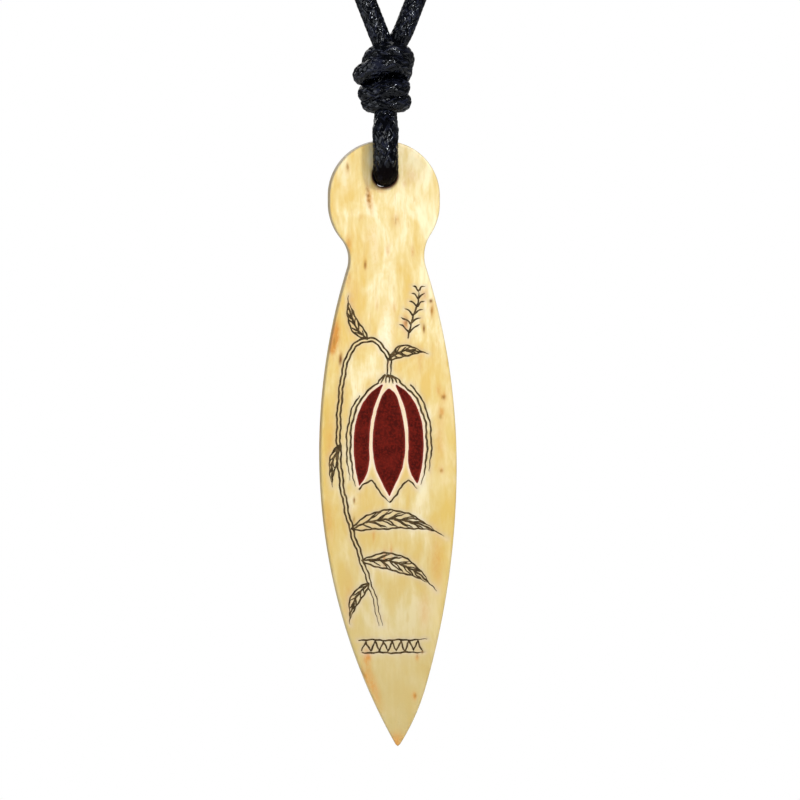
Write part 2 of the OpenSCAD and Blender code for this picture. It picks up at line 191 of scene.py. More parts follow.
BAND = {"top": -47.4, "bottom": -48.7, "left": -2.3, "right": 3.9, "teeth": 7}
# Lines between the bud's open tips, and the small cap that joins the bud to its stem
BUD_MOUTH = (
    ((-2.6, -32), (-2, -31.4), (-1.3, -31), (-0.9, -31.6), (-0.2, -32.6), (0.5, -33.3)),
    ((0.5, -33.3), (1.2, -32.6), (1.9, -31.5), (2.4, -31), (2.9, -31.5), (3.4, -32)))
CAP_LINES, CAP_MIDDLE = 7, 0.45
# Everything engraved lies between these heights. What is farther away isn't measured.
DRAWN_TOP, DRAWN_FOOT, FAR_OFF = -11, -50, 9.0

# Depths in the bone: of the red and the ink below the face, and the deepest of both cuts
RED_SUNK, INK_SUNK = 0.06, 0.012
HOLLOW_DEPTH, FURROW_DEPTH = 0.16, 0.05

# Colours of the stains and of the wear. The side walls' colour is partly edge stain and partly
# painted shade, and the ring round the hole is partly wear and partly painted shade.
BONE_STAINS = {
    "dash": (0.6, 0.38, 0.12), "pale": (0.84, 0.79, 0.6), "low": (0.455, 0.35, 0.137),
    "honey": (0.6, 0.41, 0.07), "orange": (0.55, 0.235, 0.035), "lilac": (0.5, 0.42, 0.4),
    "ground": (0.78, 0.62, 0.5), "halo": (0.58, 0.34, 0.045), "fleck": (0.16, 0.055, 0.008),
    "side": (0.5, 0.4, 0.25), "worn": (0.05, 0.011, 0.004)}
# Lighter bluish fibre ends on the yarns, partly painted sheen
LOOSE_ENDS_AND_SHEEN = (0.014, 0.016, 0.03)
# Painted shade on the yarn deep in the pendant's hole
HOLE_SHADE_YARN = (0.0022, 0.0009, 0.0007)
WAX_TINT = (0.9, 0.94, 1.0, 1.0)
RED_CLOUD, RED_EDGE = (0.15, 0.01, 0.005), (0.3, 0.04, 0.028)
THIN_INK = (0.11, 0.07, 0.028)
PALE_FLOOR = (0.84, 0.84, 0.83), (0.88, 0.88, 0.87)

# Lamps: name, place from the picture's middle in metres, size, its power's name, colour
LAMPS = (
    ("Key lamp", (0.13, -0.28, 0.2), 0.16, "key", (1.0, 0.985, 0.96)),
    ("Glint lamp", (0.22, -0.34, 0.22), 0.03, "glint", (0.93, 0.96, 1.0)),
    ("Fill lamp", (-0.5, -0.2, 0.12), 0.4, "fill", (0.94, 0.97, 1.0)),
    ("Front lamp", (0.1, -0.8, 0.2), 0.12, "front", (1.0, 0.99, 0.97)),
    ("Back lamp", (0.0, 0.8, 0.5), 0.8, "back", (1.0, 0.99, 0.97)),
)
SENSOR = 36.0  # Width of the camera's sensor, in millimetres


def size_setting(name, description, default):
    """A size, in metres."""
    return FloatProperty(
        name=name, description=description, default=default, unit="LENGTH", subtype="DISTANCE")


def colour_setting(name, description, default):
    """A colour, in linear light."""
    return FloatVectorProperty(name=name, description=description, default=default, subtype="COLOR")


def angle_setting(name, description, degrees):
    """An angle, given in degrees and kept in radians."""
    return FloatProperty(
        name=name, description=description, default=np.radians(degrees), subtype="ANGLE",
        unit="ROTATION")


def power_setting(name, description, default):
    """A lamp's power, in watts."""
    return FloatProperty(name=name, description=description, default=default, unit="POWER")


class CordSettings(PropertyGroup):
    """Sizes and colours of the waxed cord."""

    diameter: size_setting("Diameter", "Thickness of the cord", 0.002)
    bore_width: size_setting("Bore width", "Thickness of the cord where the hole pinches it", 0.0022)
    loop_width: size_setting("Loop width", "Width of the relaxed cord in the loop", 0.0025)
    loop_thickness: size_setting("Loop thickness", "Thickness of the relaxed cord in the loop", 0.0023)
    crown: size_setting("Crown", "Height of the yarns' crowns above the plain cord", 0.00006)
    lay: size_setting("Lay", "Length in which a yarn goes once round the cord", 0.0105)
    yarns: IntProperty(
        name="Yarns", description="Yarns in the braid that turn the same way", default=10)
    relief: size_setting("Relief", "Depth of the grooves between the yarns", 0.0001)
    # Painted shade: the grooves between the yarns get this darker colour
    dark: colour_setting("Groove colour", "Colour between the yarns", (0.0004, 0.0005, 0.001))
    blue_black: colour_setting(
        "Yarn colour", "Colour on the crowns of the yarns", (0.0006, 0.0008, 0.0018))


class BoneSettings(PropertyGroup):
    """Sizes and colours of the bone plate and its stains."""

    rim: size_setting("Rim", "Radius of the rounding along the head's rim", 0.0002)
    hole_rim: size_setting("Hole rim", "Radius of the rounding round the hole", 0.00008)
    line_width: size_setting("Line width", "Width of an engraved line", 0.00021)
    cream: colour_setting("Cream", "Main colour of the bone", (0.69, 0.54, 0.235))
    ivory: colour_setting("Ivory", "Colour of the palest streaks", (0.81, 0.71, 0.455))
    straw: colour_setting("Straw", "Colour of the yellow streaks", (0.65, 0.445, 0.125))
    red: colour_setting("Red", "Colour of the stained bud", (0.115, 0.006, 0.0025))
    ink: colour_setting("Ink", "Colour rubbed into the engraved lines", (0.04, 0.025, 0.009))


class StageSettings(PropertyGroup):
    """The photographer's table: camera, lamps and floor."""

    distance: size_setting("Distance", "From the camera to the pendant", 0.5)
    view_width: size_setting("View width", "Width of the picture at the pendant", 0.08133)
    azimuth: angle_setting("Azimuth", "Turn of the camera towards the viewer's left", 4.5)
    elevation: angle_setting("Elevation", "Height of the camera as an angle", 4.0)
    roll: angle_setting("Roll", "Lean of the camera", 1.0)
    floor_drop: size_setting("Floor drop", "From the tip down to the floor", 0.066)
    key: power_setting("Key lamp", "Power of the lamp at the upper right", 0.56)
    glint: power_setting("Glint lamp", "Power of the small lamp that sparkles on the wax", 1.1)
    fill: power_setting("Fill lamp", "Power of the lamp at the left", 1.9)
    front: power_setting("Front lamp", "Power of the soft lamp near the camera", 1.0)
    back: power_setting("Back lamp", "Power of the soft lamp behind the necklace", 2.4)


def unit(vectors):
    """Each vector divided by its length."""
    return vectors / np.linalg.norm(vectors, axis=-1, keepdims=True)


def curve_through(points, steps):
    """Smooth curve through the points. Between two of them, q and r, with neighbours p and s,
    the place at share t is half of 2q + (r-p)t + (2p-5q+4r-s)t^2 + (3q-p-3r+s)t^3."""
    points = np.asarray(points, float)
    ends = 2 * points[0] - points[1], 2 * points[-1] - points[-2]
    line = np.vstack([ends[0], points, ends[1]])[:, None]
    p, q, r, s = line[:-3], line[1:-2], line[2:-1], line[3:]
    t = np.arange(steps)[None, :, None] / steps
    bend = 2 * q + (r - p) * t + (2 * p - 5 * q + 4 * r - s) * t**2
    places = 0.5 * (bend + (3 * q - p - 3 * r + s) * t**3)
    return np.vstack([places.reshape(-1, points.shape[1]), points[-1]])


def run_along(line):
    """Distance along a line of points, from its start to each of them."""
    steps = np.linalg.norm(np.diff(line, axis=0), axis=1)
    return np.concatenate([[0.0], np.cumsum(steps)])


def read_off(line, run, at):
    """Places on a line at the given distances along it, each coordinate read off in turn."""
    return np.stack([np.interp(at, run, line[:, k]) for k in range(line.shape[1])], axis=1)


def softened(line, reach):
    """Running mean of a line of points with a bell curve of that reach, ends kept in place."""
    width = 3 * reach
    bell = np.exp(-0.5 * (np.arange(-width, width + 1) / reach) ** 2)
    bell /= bell.sum()
    before = 2 * line[0] - line[width:0:-1]
    after = 2 * line[-1] - line[-2:-width - 2:-1]
    long = np.vstack([before, line, after])
    return np.stack([np.convolve(long[:, k], bell, "valid") for k in range(3)], axis=1)


def carried_sides(along, start):
    """Side directions that don't twist about the path. The small turn from each direction to
    the next is a matrix, and the running product of these turns carries the first side on."""
    a, b = along[:-1], along[1:]
    axis = np.cross(a, b)
    zero = np.zeros(len(axis))
    skew = np.stack([
        np.stack([zero, -axis[:, 2], axis[:, 1]], axis=1),
        np.stack([axis[:, 2], zero, -axis[:, 0]], axis=1),
        np.stack([-axis[:, 1], axis[:, 0], zero], axis=1)], axis=1)
    cosine = np.sum(a * b, axis=1)[:, None, None]
    turns = np.eye(3) + skew + skew @ skew / (1 + cosine)
    step = 1
    while step < len(turns):
        turns[step:] = turns[step:] @ turns[:-step]
        step *= 2
    first = unit(start - along[0] * (start @ along[0]))
    sides = np.vstack([first, turns @ first])
    return unit(sides - along * np.sum(sides * along, axis=1, keepdims=True))


def new_piece(name, points, blocks, material, values=None, uv=None):
    """A mesh from points in millimetres and blocks of faces with equal corners. The faces are
    turned round where their signed volume, a sixth of the sum of a.(b x c), is negative."""
    volume = sum(
        np.einsum("ij,ij->i", points[b[:, 0]], np.cross(points[b[:, k]], points[b[:, k + 1]])).sum()
        for b in blocks for k in range(1, b.shape[1] - 1))
    turned = slice(None, None, -1) if volume < 0 else slice(None)
    mesh = bpy.data.meshes.new(name)
    mesh.vertices.add(len(points))
    mesh.vertices.foreach_set("co", (points * MM).astype(np.float32).ravel())
    corners = np.concatenate([b[:, turned].ravel() for b in blocks])
    sizes = np.concatenate([np.full(len(b), b.shape[1]) for b in blocks])
    mesh.loops.add(len(corners))
    mesh.loops.foreach_set("vertex_index", corners.astype(np.int32))
    mesh.polygons.add(len(sizes))
    starts = np.concatenate([[0], np.cumsum(sizes)[:-1]])
    mesh.polygons.foreach_set("loop_start", starts.astype(np.int32))
    mesh.update(calc_edges=True)
    mesh.validate()
    mesh.polygons.foreach_set("use_smooth", np.ones(len(sizes), bool))
    for key, value in (values or {}).items():
        mesh.attributes.new(key, "FLOAT", "POINT").data.foreach_set(
            "value", np.asarray(value, np.float32))
    if uv is not None:
        places = np.concatenate([u[:, turned].reshape(-1, 2) for u in uv])
        layer = mesh.uv_layers.new(name="along_cord")
        layer.data.foreach_set("uv", places.astype(np.float32).ravel())
    mesh.materials.append(material)
    piece = bpy.data.objects.new(name, mesh)
    bpy.context.scene.collection.objects.link(piece)
    return piece


def face_outwards(piece):
    """Turns all faces of a closed piece outwards."""
    shell = bmesh.new()
    shell.from_mesh(piece.data)
    bmesh.ops.recalc_face_normals(shell, faces=shell.faces)
    shell.to_mesh(piece.data)
    shell.free()


def tube_faces(rings, sides, first=0):
    """Four-cornered faces between neighbouring rings, and their places in the cord's own map:
    once round for the first coordinate, ring number for the second."""
    i, j = np.meshgrid(np.arange(rings - 1), np.arange(sides), indexing="ij")
    i, j = i.ravel(), j.ravel()
    k = (j + 1) % sides
    here, beyond = first + i * sides, first + (i + 1) * sides
    faces = np.stack([here + j, beyond + j, beyond + k, here + k], axis=1)
    round_share = np.stack([j, j, j + 1, j + 1], axis=1) / sides
    ring = np.stack([i, i + 1, i + 1, i], axis=1)
    return faces, round_share, ring


def cap_faces(ring_start, sides, centre, reverse):
    """Triangles from a ring to a point in its middle."""
    j = np.arange(sides)
    a, b = ring_start + j, ring_start + (j + 1) % sides
    if reverse:
        a, b = b, a
    return np.stack([a, b, np.full(sides, centre)], axis=1)


def braid(round_share, run, yarns, lay):
    """Relief of a braid, 0 on the crowns and -1 in the deepest grooves, and 1 where a yarn of
    the first hand shows, 0 where one of the other does. Yarns of one hand lie
    at whole steps of u = yarns * (share + run / lay), those of the other at steps of
    v = yarns * (share - run / lay). Each yarn is round across and dives under every second
    crossing, and the higher of the two shows."""
    u = yarns * (round_share + run / lay)
    v = yarns * (round_share - run / lay)
    i, j = np.floor(u), np.floor(v)
    across_u, across_v = u - i - 0.5, v - j - 0.5
    over = np.where((i + j) % 2 == 0, 1.0, -1.0)
    fullness, dive = 1.94, 0.42
    round_u = np.sqrt(1 - (fullness * across_u) ** 2) - 1
    round_v = np.sqrt(1 - (fullness * across_v) ** 2) - 1
    up_u = round_u + dive * (over * np.cos(np.pi * across_v) - 1)
    up_v = round_v + dive * (-over * np.cos(np.pi * across_u) - 1)
    return np.maximum(np.maximum(up_u, up_v), -1.0), (up_u >= up_v).astype(float)


def whole_cord():
    """Middle line of the cord from one end at the nape to the other, with the distance along
    it, side directions, and the distances at which one stretch gives way to the next."""
    left, right = np.array(LEFT_STRAND) + KNOT_AT, np.array(RIGHT_STRAND) + KNOT_AT
    loop = np.vstack([left[-1], np.array(LOOP) + HOLE_AT, right[-1]])
    stretches = (
        (np.vstack([[-NAPE_END, 0, 0], LEFT_ROUTE, left[0]]), NECK_STEPS),
        (left, KNOT_STEPS), (loop, KNOT_STEPS), (right[::-1], KNOT_STEPS),
        (np.vstack([[NAPE_END, 0, 0], RIGHT_ROUTE, right[0]])[::-1], NECK_STEPS))
    curves = [curve_through(points, steps) for points, steps in stretches]
    lengths = [run_along(c)[-1] for c in curves]
    line = np.vstack([curves[0]] + [c[1:] for c in curves[1:]])
    run = run_along(line)
    spacing, reach = 0.05, 6
    fine = np.linspace(0, run[-1], int(run[-1] / spacing) + 1)
    line = softened(read_off(line, run, fine), reach)
    run = run_along(line)
    cuts = np.cumsum([0.0] + lengths) * run[-1] / sum(lengths)
    along = unit(np.gradient(line, axis=0))
    sides = carried_sides(along, np.array([0.0, 0.0, 1.0]))
    return line, run, along, sides, cuts


def oval_radius(cut, at, middle, ahead, out, cuts, settings):
    """Radius of the cord before the braid, and its middle line, which sinks a little where the
    cord fills the hole. The cord is round and thin outside the loop, and an oval
    1 / sqrt((x / wide)^2 + (1 - x^2) / thick^2) in it, with x the share of a direction that
    points across."""
    thin, pinched = settings.diameter / MM / 2, settings.bore_width / MM / 2
    wide, thick = settings.loop_width / MM / 2, settings.loop_thickness / MM / 2
    # The loop relaxes outside the hole, and fills the hole's height inside it
    mouth, ease = 2.1, 0.5
    away = np.abs(middle[:, 1:2] - HOLE_AT[1])
    relaxed = np.clip((away - mouth) / ease, 0, 1)
    wide, thick = pinched + (wide - pinched) * relaxed, pinched + (thick - pinched) * relaxed
    if cut == LOOP_STRETCH:
        filled_to, below, sink, swell = 2.2, 2, 0.05, 0.03
        filled = np.clip(filled_to - away, 0, 1) * (middle[:, 2:] < HOLE_AT[2] + below)
        middle = middle - filled * [0, 0, sink]
        wide, thick = wide + swell * filled, thick + swell * filled
    # The change from round to oval begins a little before the loop and ends inside it
    lead, blend = 0.4, 1.6
    inside = np.minimum(at - cuts[LOOP_STRETCH] + lead, cuts[KNOT_RIGHT] + lead - at)
    inside = np.clip(inside / blend, 0, 1)
    inside = (inside * inside * (3 - 2 * inside))[:, None]
    # The tiny rise keeps the width's direction sound where the cord runs straight across
    x_side = unit(np.array([1.0, 0, 1e-6]) - ahead * ahead[:, :1])
    across = np.sum(out * x_side[:, None], axis=2)
    oval = 1 / np.sqrt((across / wide) ** 2 + (1 - across**2) / thick**2)
    return thin + (oval - thin) * inside, middle


def swept_cord(cord, cut, gap, count, settings, others=None):
    """Surface of one stretch of the cord. At share a of a turn and distance s along, a point
    lies at middle + r ((cos 2 pi a) side + (sin 2 pi a) over), where r is the oval's radius
    plus the braid's relief. Where another stretch presses on it, the point is drawn in to the
    plane halfway between the two middle lines, and above the hole the loop is pressed flat."""
    line, run, along, sides, cuts = cord
    start, end = cuts[cut], cuts[cut + 1]
    at = np.linspace(start, end, int(round((end - start) / gap)) + 1)
    middle = read_off(line, run, at)
    ahead = unit(read_off(along, run, at))
    side = read_off(sides, run, at)
    side = unit(side - ahead * np.sum(side * ahead, axis=1, keepdims=True))
    over = np.cross(ahead, side)
    share = np.arange(count) / count
    angle = 2 * np.pi * share[None, :, None]
    out = side[:, None] * np.cos(angle) + over[:, None] * np.sin(angle)

    radius, middle = oval_radius(cut, at, middle, ahead, out, cuts, settings)
    relief, hand = braid(share[None], at[:, None], settings.yarns, settings.lay / MM)
    radius = radius + settings.crown / MM + relief * settings.relief / MM
    if others is not None:
        radius = pressed_in(middle, out, radius, at, others)
    points = (middle[:, None] + out * radius[:, :, None]).reshape(-1, 3)
    if cut == LOOP_STRETCH:
        depth = points[:, 1] - HOLE_AT[1]
        room = np.interp(points[:, 2] - HOLE_AT[2], FLAT_HEIGHTS, FLAT_DEPTHS)
        points[:, 1] = HOLE_AT[1] + np.sign(depth) * np.maximum(np.abs(depth), room)
    return points, at, 1 + relief.ravel(), hand.ravel(), middle


def pressed_in(middle, out, radius, at, others):
    """Radius drawn in where a point lies nearer to another stretch's middle line: with w from
    the own middle to the other one, the radius is at most |w|^2 / 2 divided by out.w. Places
    of that line less than own_stretch along the cord away are its own and left out."""
    own_stretch, touching, least, slice_rings = 2.6, 1.5, 0.25, 40
    other_line, other_run = others
    points = middle[:, None] + out * radius[:, :, None]
    result = radius.copy()
    near_square = np.sum(other_line**2, axis=1)
    for first in range(0, len(middle), slice_rings):
        rows = slice(first, first + slice_rings)
        chunk = points[rows].reshape(-1, 3)
        apart = near_square[None] - 2 * chunk @ other_line.T
        own = np.repeat(at[rows], radius.shape[1])
        apart[np.abs(own[:, None] - other_run[None]) < own_stretch] = np.inf
        nearest = other_line[np.argmin(apart, axis=1)].reshape(-1, radius.shape[1], 3)
        toward = nearest - middle[rows, None]
        facing = np.sum(out[rows] * toward, axis=2)
        limit = 0.5 * np.sum(toward**2, axis=2) / np.maximum(facing, 1e-6)
        close = np.sum((points[rows] - nearest) ** 2, axis=2) < touching**2
        drawn = np.minimum(result[rows], np.maximum(limit, least))
        result[rows] = np.where(close & (facing > 0), drawn, result[rows])
    return result


def cord_piece(name, parts, count, material):
    """One piece from one or more swept stretches, each closed with a cap at both ends."""
    points, blocks, uv, crown, hand = [], [[], []], [[], []], [], []
    first = 0
    for surface, at, up, over, middle in parts:
        rings = len(at)
        faces, share, ring = tube_faces(rings, count, first)
        centres = first + rings * count + np.arange(2)
        caps = [cap_faces(first, count, centres[0], False),
                cap_faces(first + (rings - 1) * count, count, centres[1], True)]
        points += [surface, middle[[0, -1]]]
        blocks[0].append(faces)
        uv[0].append(np.stack([share, at[ring]], axis=2))
        for cap, place in zip(caps, (at[0], at[-1])):
            blocks[1].append(cap)
            uv[1].append(np.full((count, 3, 2), (0.5, place)))
        crown += [up, [0.0, 0.0]]
        hand += [over, [0.0, 0.0]]
        first += rings * count + 2
    points = np.vstack(points)
    # Painted shade on the cord deep in the hole, growing below this height
    shaded_below, fade = 1.8, 1.4
    in_hole = np.clip((HOLE_AT[2] + shaded_below - points[:, 2]) / fade, 0, 1)
    return new_piece(
        name, points, [np.vstack(b) for b in blocks], material,
        {"crown": np.concatenate(crown), "hand": np.concatenate(hand), "in_hole": in_hole},
        [np.vstack(u) for u in uv])


def shade_in_hole(piece, material):
    """Faces deep in the pendant's hole get a copy of the braid with almost no gloss: painted shade.
    The border follows the yarns, because grooves change sooner than crowns."""
    mesh = piece.data
    mesh.materials.append(material)
    corner, first = np.empty(len(mesh.loops), np.int32), np.empty(len(mesh.polygons), np.int32)
    mesh.loops.foreach_get("vertex_index", corner)
    mesh.polygons.foreach_get("loop_start", first)
    share = np.empty((2, len(mesh.vertices)), np.float32)
    for row, key in zip(share, ("in_hole", "crown")):
        mesh.attributes[key].data.foreach_get("value", row)
    in_hole, crown = share
    crown_share = 0.9
    deep = (in_hole - crown_share * crown)[corner[first]] > 0.0
    mesh.polygons.foreach_set("material_index", deep.astype(np.int32))


# Nodes of the materials

def start_material(name):
    """A new material, its node tree, shader and object coordinates in millimetres."""
    material = bpy.data.materials.new(name)
    material.use_nodes = True
    tree = material.node_tree
    shader = tree.nodes["Principled BSDF"]
    place = tree.nodes.new("ShaderNodeTexCoord")
    scale = tree.nodes.new("ShaderNodeMapping")
    scale.inputs["Scale"].default_value = (1 / MM, 1 / MM, 1 / MM)
    tree.links.new(place.outputs["Object"], scale.inputs["Vector"])
    return material, tree, shader, scale.outputs["Vector"]


def stretched(tree, place, scale):
    """Coordinates multiplied axis by axis."""
    node = tree.nodes.new("ShaderNodeMapping")
    node.inputs["Scale"].default_value = scale
    tree.links.new(place, node.inputs["Vector"])
    return node.outputs["Vector"]


def noise(tree, place, scale, detail=3.0, roughness=0.5, distortion=0.0):
    """Noise value at a place."""
    node = tree.nodes.new("ShaderNodeTexNoise")
    values = {"Scale": scale, "Detail": detail, "Roughness": roughness, "Distortion": distortion}
    for key, value in values.items():
        node.inputs[key].default_value = value
    tree.links.new(place, node.inputs["Vector"])
    return node.outputs["Fac"]


def measured(tree, name):
    """A value stored on the piece's points."""
    node = tree.nodes.new("ShaderNodeAttribute")
    node.attribute_name = name
    return node.outputs["Fac"]


def math(tree, operation, first, second=0.0, third=None, clamp=False):
    """A sum on one to three values, each a socket or a number."""
    node = tree.nodes.new("ShaderNodeMath")
    node.operation = operation
    node.use_clamp = clamp
    for socket, value in zip(node.inputs, (first, second, third)):
        if isinstance(value, bpy.types.NodeSocket):
            tree.links.new(value, socket)
        elif value is not None:
            socket.default_value = value
    return node.outputs["Value"]


def between(tree, value, low, high, to_low=0.0, to_high=1.0):
    """A value spread from low..high to another range, with soft ends."""
    node = tree.nodes.new("ShaderNodeMapRange")
    node.interpolation_type = "SMOOTHSTEP"
    limits = {"From Min": low, "From Max": high, "To Min": to_low, "To Max": to_high}
    for key, number in limits.items():
        node.inputs[key].default_value = number
    tree.links.new(value, node.inputs["Value"])
    return node.outputs["Result"]


def blended(tree, share, first, second):
    """Colour that goes from first to second with share. Either is a socket or a colour."""
    node = tree.nodes.new("ShaderNodeMix")
    node.data_type = "RGBA"
    tree.links.new(share, node.inputs["Factor"])
    for socket, value in ((node.inputs[6], first), (node.inputs[7], second)):
        if isinstance(value, bpy.types.NodeSocket):
            tree.links.new(value, socket)
        else:
            socket.default_value = (*value, 1.0)
    return node.outputs[2]


def add_bump(tree, shader, height, distance, strength=1.0):
    """Small relief on the shader's normal."""
    node = tree.nodes.new("ShaderNodeBump")
    node.inputs["Distance"].default_value = distance
    node.inputs["Strength"].default_value = strength
    tree.links.new(height, node.inputs["Height"])
    tree.links.new(node.outputs["Normal"], shader.inputs["Normal"])


def waxed_braid(settings, name="waxed_braid", gloss=0.2):
    """Blue-black waxed cotton: grooves darker as painted shade, fine ends that run along each yarn,
    lighter and bluer, partly fibre ends and partly painted sheen, patches where the wax has
    polished or dulled, and painted shade deep in the hole. The streaks are noise on a cylinder
    that turns with the yarn: (R cos t, R sin t, run), where t is the place's turn less the
    yarn's own turn."""
    material, tree, shader, place = start_material(name)
    crown, hand = measured(tree, "crown"), measured(tree, "hand")
    own = tree.nodes.new("ShaderNodeUVMap")
    own.uv_map = "along_cord"
    parts = tree.nodes.new("ShaderNodeSeparateXYZ")
    tree.links.new(own.outputs["UV"], parts.inputs["Vector"])
    per_lay = math(tree, "MULTIPLY", parts.outputs["Y"], MM / settings.lay)
    across = settings.yarns * 2.2 / (2 * np.pi)
    streaks = []
    for direction in (1.0, -1.0):
        turn = math(tree, "MULTIPLY_ADD", per_lay, direction, parts.outputs["X"])
        angle = math(tree, "MULTIPLY", turn, 2 * np.pi)
        twisted = tree.nodes.new("ShaderNodeCombineXYZ")
        for axis, value in (("X", math(tree, "COSINE", angle)), ("Y", math(tree, "SINE", angle))):
            tree.links.new(math(tree, "MULTIPLY", value, across), twisted.inputs[axis])
        tree.links.new(math(tree, "MULTIPLY", parts.outputs["Y"], 0.85), twisted.inputs["Z"])
        streaks.append(noise(tree, twisted.outputs["Vector"], 1.0, 0.6, 0.4))
    pick = between(tree, hand, 0.45, 0.55)
    near = math(tree, "MULTIPLY", streaks[0], pick)
    streak = math(tree, "MULTIPLY_ADD", streaks[1], math(tree, "SUBTRACT", 1.0, pick), near)
    wax = noise(tree, place, 0.8, 2.0, 0.5)
    lumps = noise(tree, place, 2.2, 0.5, 0.5)
    in_hole = measured(tree, "in_hole")

    # Painted shade: darker in the grooves between the yarns
    base = blended(tree, between(tree, crown, 0.35, 0.98), settings.dark, settings.blue_black)
    # Lighter bluish streaks: fibre ends, and painted sheen
    base = blended(tree, between(tree, streak, 0.53, 0.66, 0.0, 0.62), base, LOOSE_ENDS_AND_SHEEN)
    # Painted shade deep in the hole: the yarn turns red-black
    base = blended(tree, math(tree, "MULTIPLY", in_hole, 0.75), base, HOLE_SHADE_YARN)
    tree.links.new(base, shader.inputs["Base Color"])
    dull = between(tree, wax, 0.4, 0.6, 0.05, 0.12)
    dull = math(tree, "ADD", dull, between(tree, crown, 0.15, 0.5, 0.3, 0.0))
    dull = math(tree, "ADD", dull, math(tree, "MULTIPLY", in_hole, 0.5), clamp=True)
    tree.links.new(dull, shader.inputs["Roughness"])
    shader.inputs["Specular IOR Level"].default_value = gloss
    shader.inputs["Specular Tint"].default_value = WAX_TINT
    height = math(tree, "MULTIPLY_ADD", lumps, 0.55, streak)
    add_bump(tree, shader, height, 0.00024)
    return material


def patchy(tree, name, blots, limits):
    """Strength of a stored stain, broken up by blots."""
    return math(tree, "MULTIPLY", measured(tree, name), between(tree, blots, *limits), clamp=True)


def stained_bone(settings):
    """Old polished bone: long pale and straw streaks along the plate, fine grain, pores, and the
    stains, flecks, pale patches, wear and painted shade that the piece's values place."""
    material, tree, shader, place = start_material("stained_bone")
    clouds = noise(tree, stretched(tree, place, (1, 1, 0.45)), 0.42, 4.0, 0.55, 0.6)
    streaks = noise(tree, stretched(tree, place, (1, 1, 0.2)), 1.5, 4.0, 0.6)
    grain = noise(tree, stretched(tree, place, (1, 1, 0.12)), 6.0, 2.0, 0.5)
    blots = noise(tree, stretched(tree, place, (1, 1, 0.5)), 3.2, 4.0, 0.65)
    tone = math(tree, "MULTIPLY_ADD", streaks, 0.35, math(tree, "MULTIPLY", clouds, 0.65))
    axes = tree.nodes.new("ShaderNodeSeparateXYZ")
    tree.links.new(place, axes.inputs["Vector"])
    # Yellower towards the left edge, paler at the upper right and where the stem ends
    tone = math(tree, "ADD", tone, between(tree, axes.outputs["X"], -6.5, -1.0, -0.055, 0.0))
    paler = math(tree, "MULTIPLY", between(tree, axes.outputs["X"], 0.0, 5.0, 0.0, 0.075),
                 between(tree, axes.outputs["Z"], -222.0, -206.0))
    tone = math(tree, "ADD", tone, paler)
    from_stem_end = math(tree, "ABSOLUTE", math(tree, "ADD", axes.outputs["Z"], 246.0))
    tone = math(tree, "ADD", tone, between(tree, from_stem_end, 2.5, 5.0, 0.04, 0.0))
    colour = blended(tree, between(tree, tone, 0.385, 0.53), settings.straw, settings.cream)
    colour = blended(tree, between(tree, tone, 0.49, 0.65), colour, settings.ivory)
    colour = blended(tree, between(tree, grain, 0.55, 0.8, 0.0, 0.2), colour, settings.straw)
    dashes = noise(tree, stretched(tree, place, (1, 1, 0.14)), 3.4, 2.0, 0.5)
    stains = BONE_STAINS
    colour = blended(tree, between(tree, dashes, 0.63, 0.72, 0.0, 0.4), colour, stains["dash"])
    pale = patchy(tree, "pale", blots, (0.3, 0.6, 0.45, 1.0))
    colour = blended(tree, pale, colour, stains["pale"])
    # Darker towards the tip, and honey-coloured along both edges of the body
    low = between(tree, axes.outputs["Z"], -215.0, -262.0, 0.0, 0.85)
    colour = blended(tree, low, colour, stains["low"])
    honey = math(tree, "MULTIPLY", between(tree, axes.outputs["X"], -6.5, -3.5, 0.3, 0.0),
                 between(tree, axes.outputs["Z"], -204.0, -208.0))
    honey_right = math(tree, "MULTIPLY", between(tree, axes.outputs["X"], 3.0, 6.0, 0.0, 0.42),
                       between(tree, axes.outputs["Z"], -219.0, -224.0))
    colour = blended(tree, math(tree, "ADD", honey, honey_right), colour, stains["honey"])
    orange = patchy(tree, "orange", blots, (0.3, 0.62, 0.6, 1.4))
    colour = blended(tree, orange, colour, stains["orange"])
    for key in ("lilac", "ground"):
        colour = blended(tree, measured(tree, key), colour, stains[key])
    fleck = patchy(tree, "brown", blots, (0.25, 0.55, 0.6, 1.2))
    halo = math(tree, "MULTIPLY", measured(tree, "brown"), 0.8, clamp=True)
    colour = blended(tree, halo, colour, stains["halo"])
    colour = blended(tree, fleck, colour, stains["fleck"])
    # Side walls and the ring round the hole: partly stain and wear, partly painted shade
    for key in ("side", "worn"):
        colour = blended(tree, measured(tree, key), colour, stains[key])
    tree.links.new(colour, shader.inputs["Base Color"])
    dull = between(tree, blots, 0.3, 0.7, 0.34, 0.5)
    dull = math(tree, "ADD", dull, math(tree, "MULTIPLY", measured(tree, "worn"), 0.6), clamp=True)
    tree.links.new(dull, shader.inputs["Roughness"])
    shader.inputs["Specular IOR Level"].default_value = 0.4
    shader.inputs["Subsurface Weight"].default_value = 0.15
    shader.inputs["Subsurface Radius"].default_value = (1.0, 0.6, 0.3)
    shader.inputs["Subsurface Scale"].default_value = 0.0006
    bumps = math(tree, "MULTIPLY_ADD", grain, 0.6, math(tree, "MULTIPLY", blots, 0.4))
    add_bump(tree, shader, bumps, 0.00002)
    return material


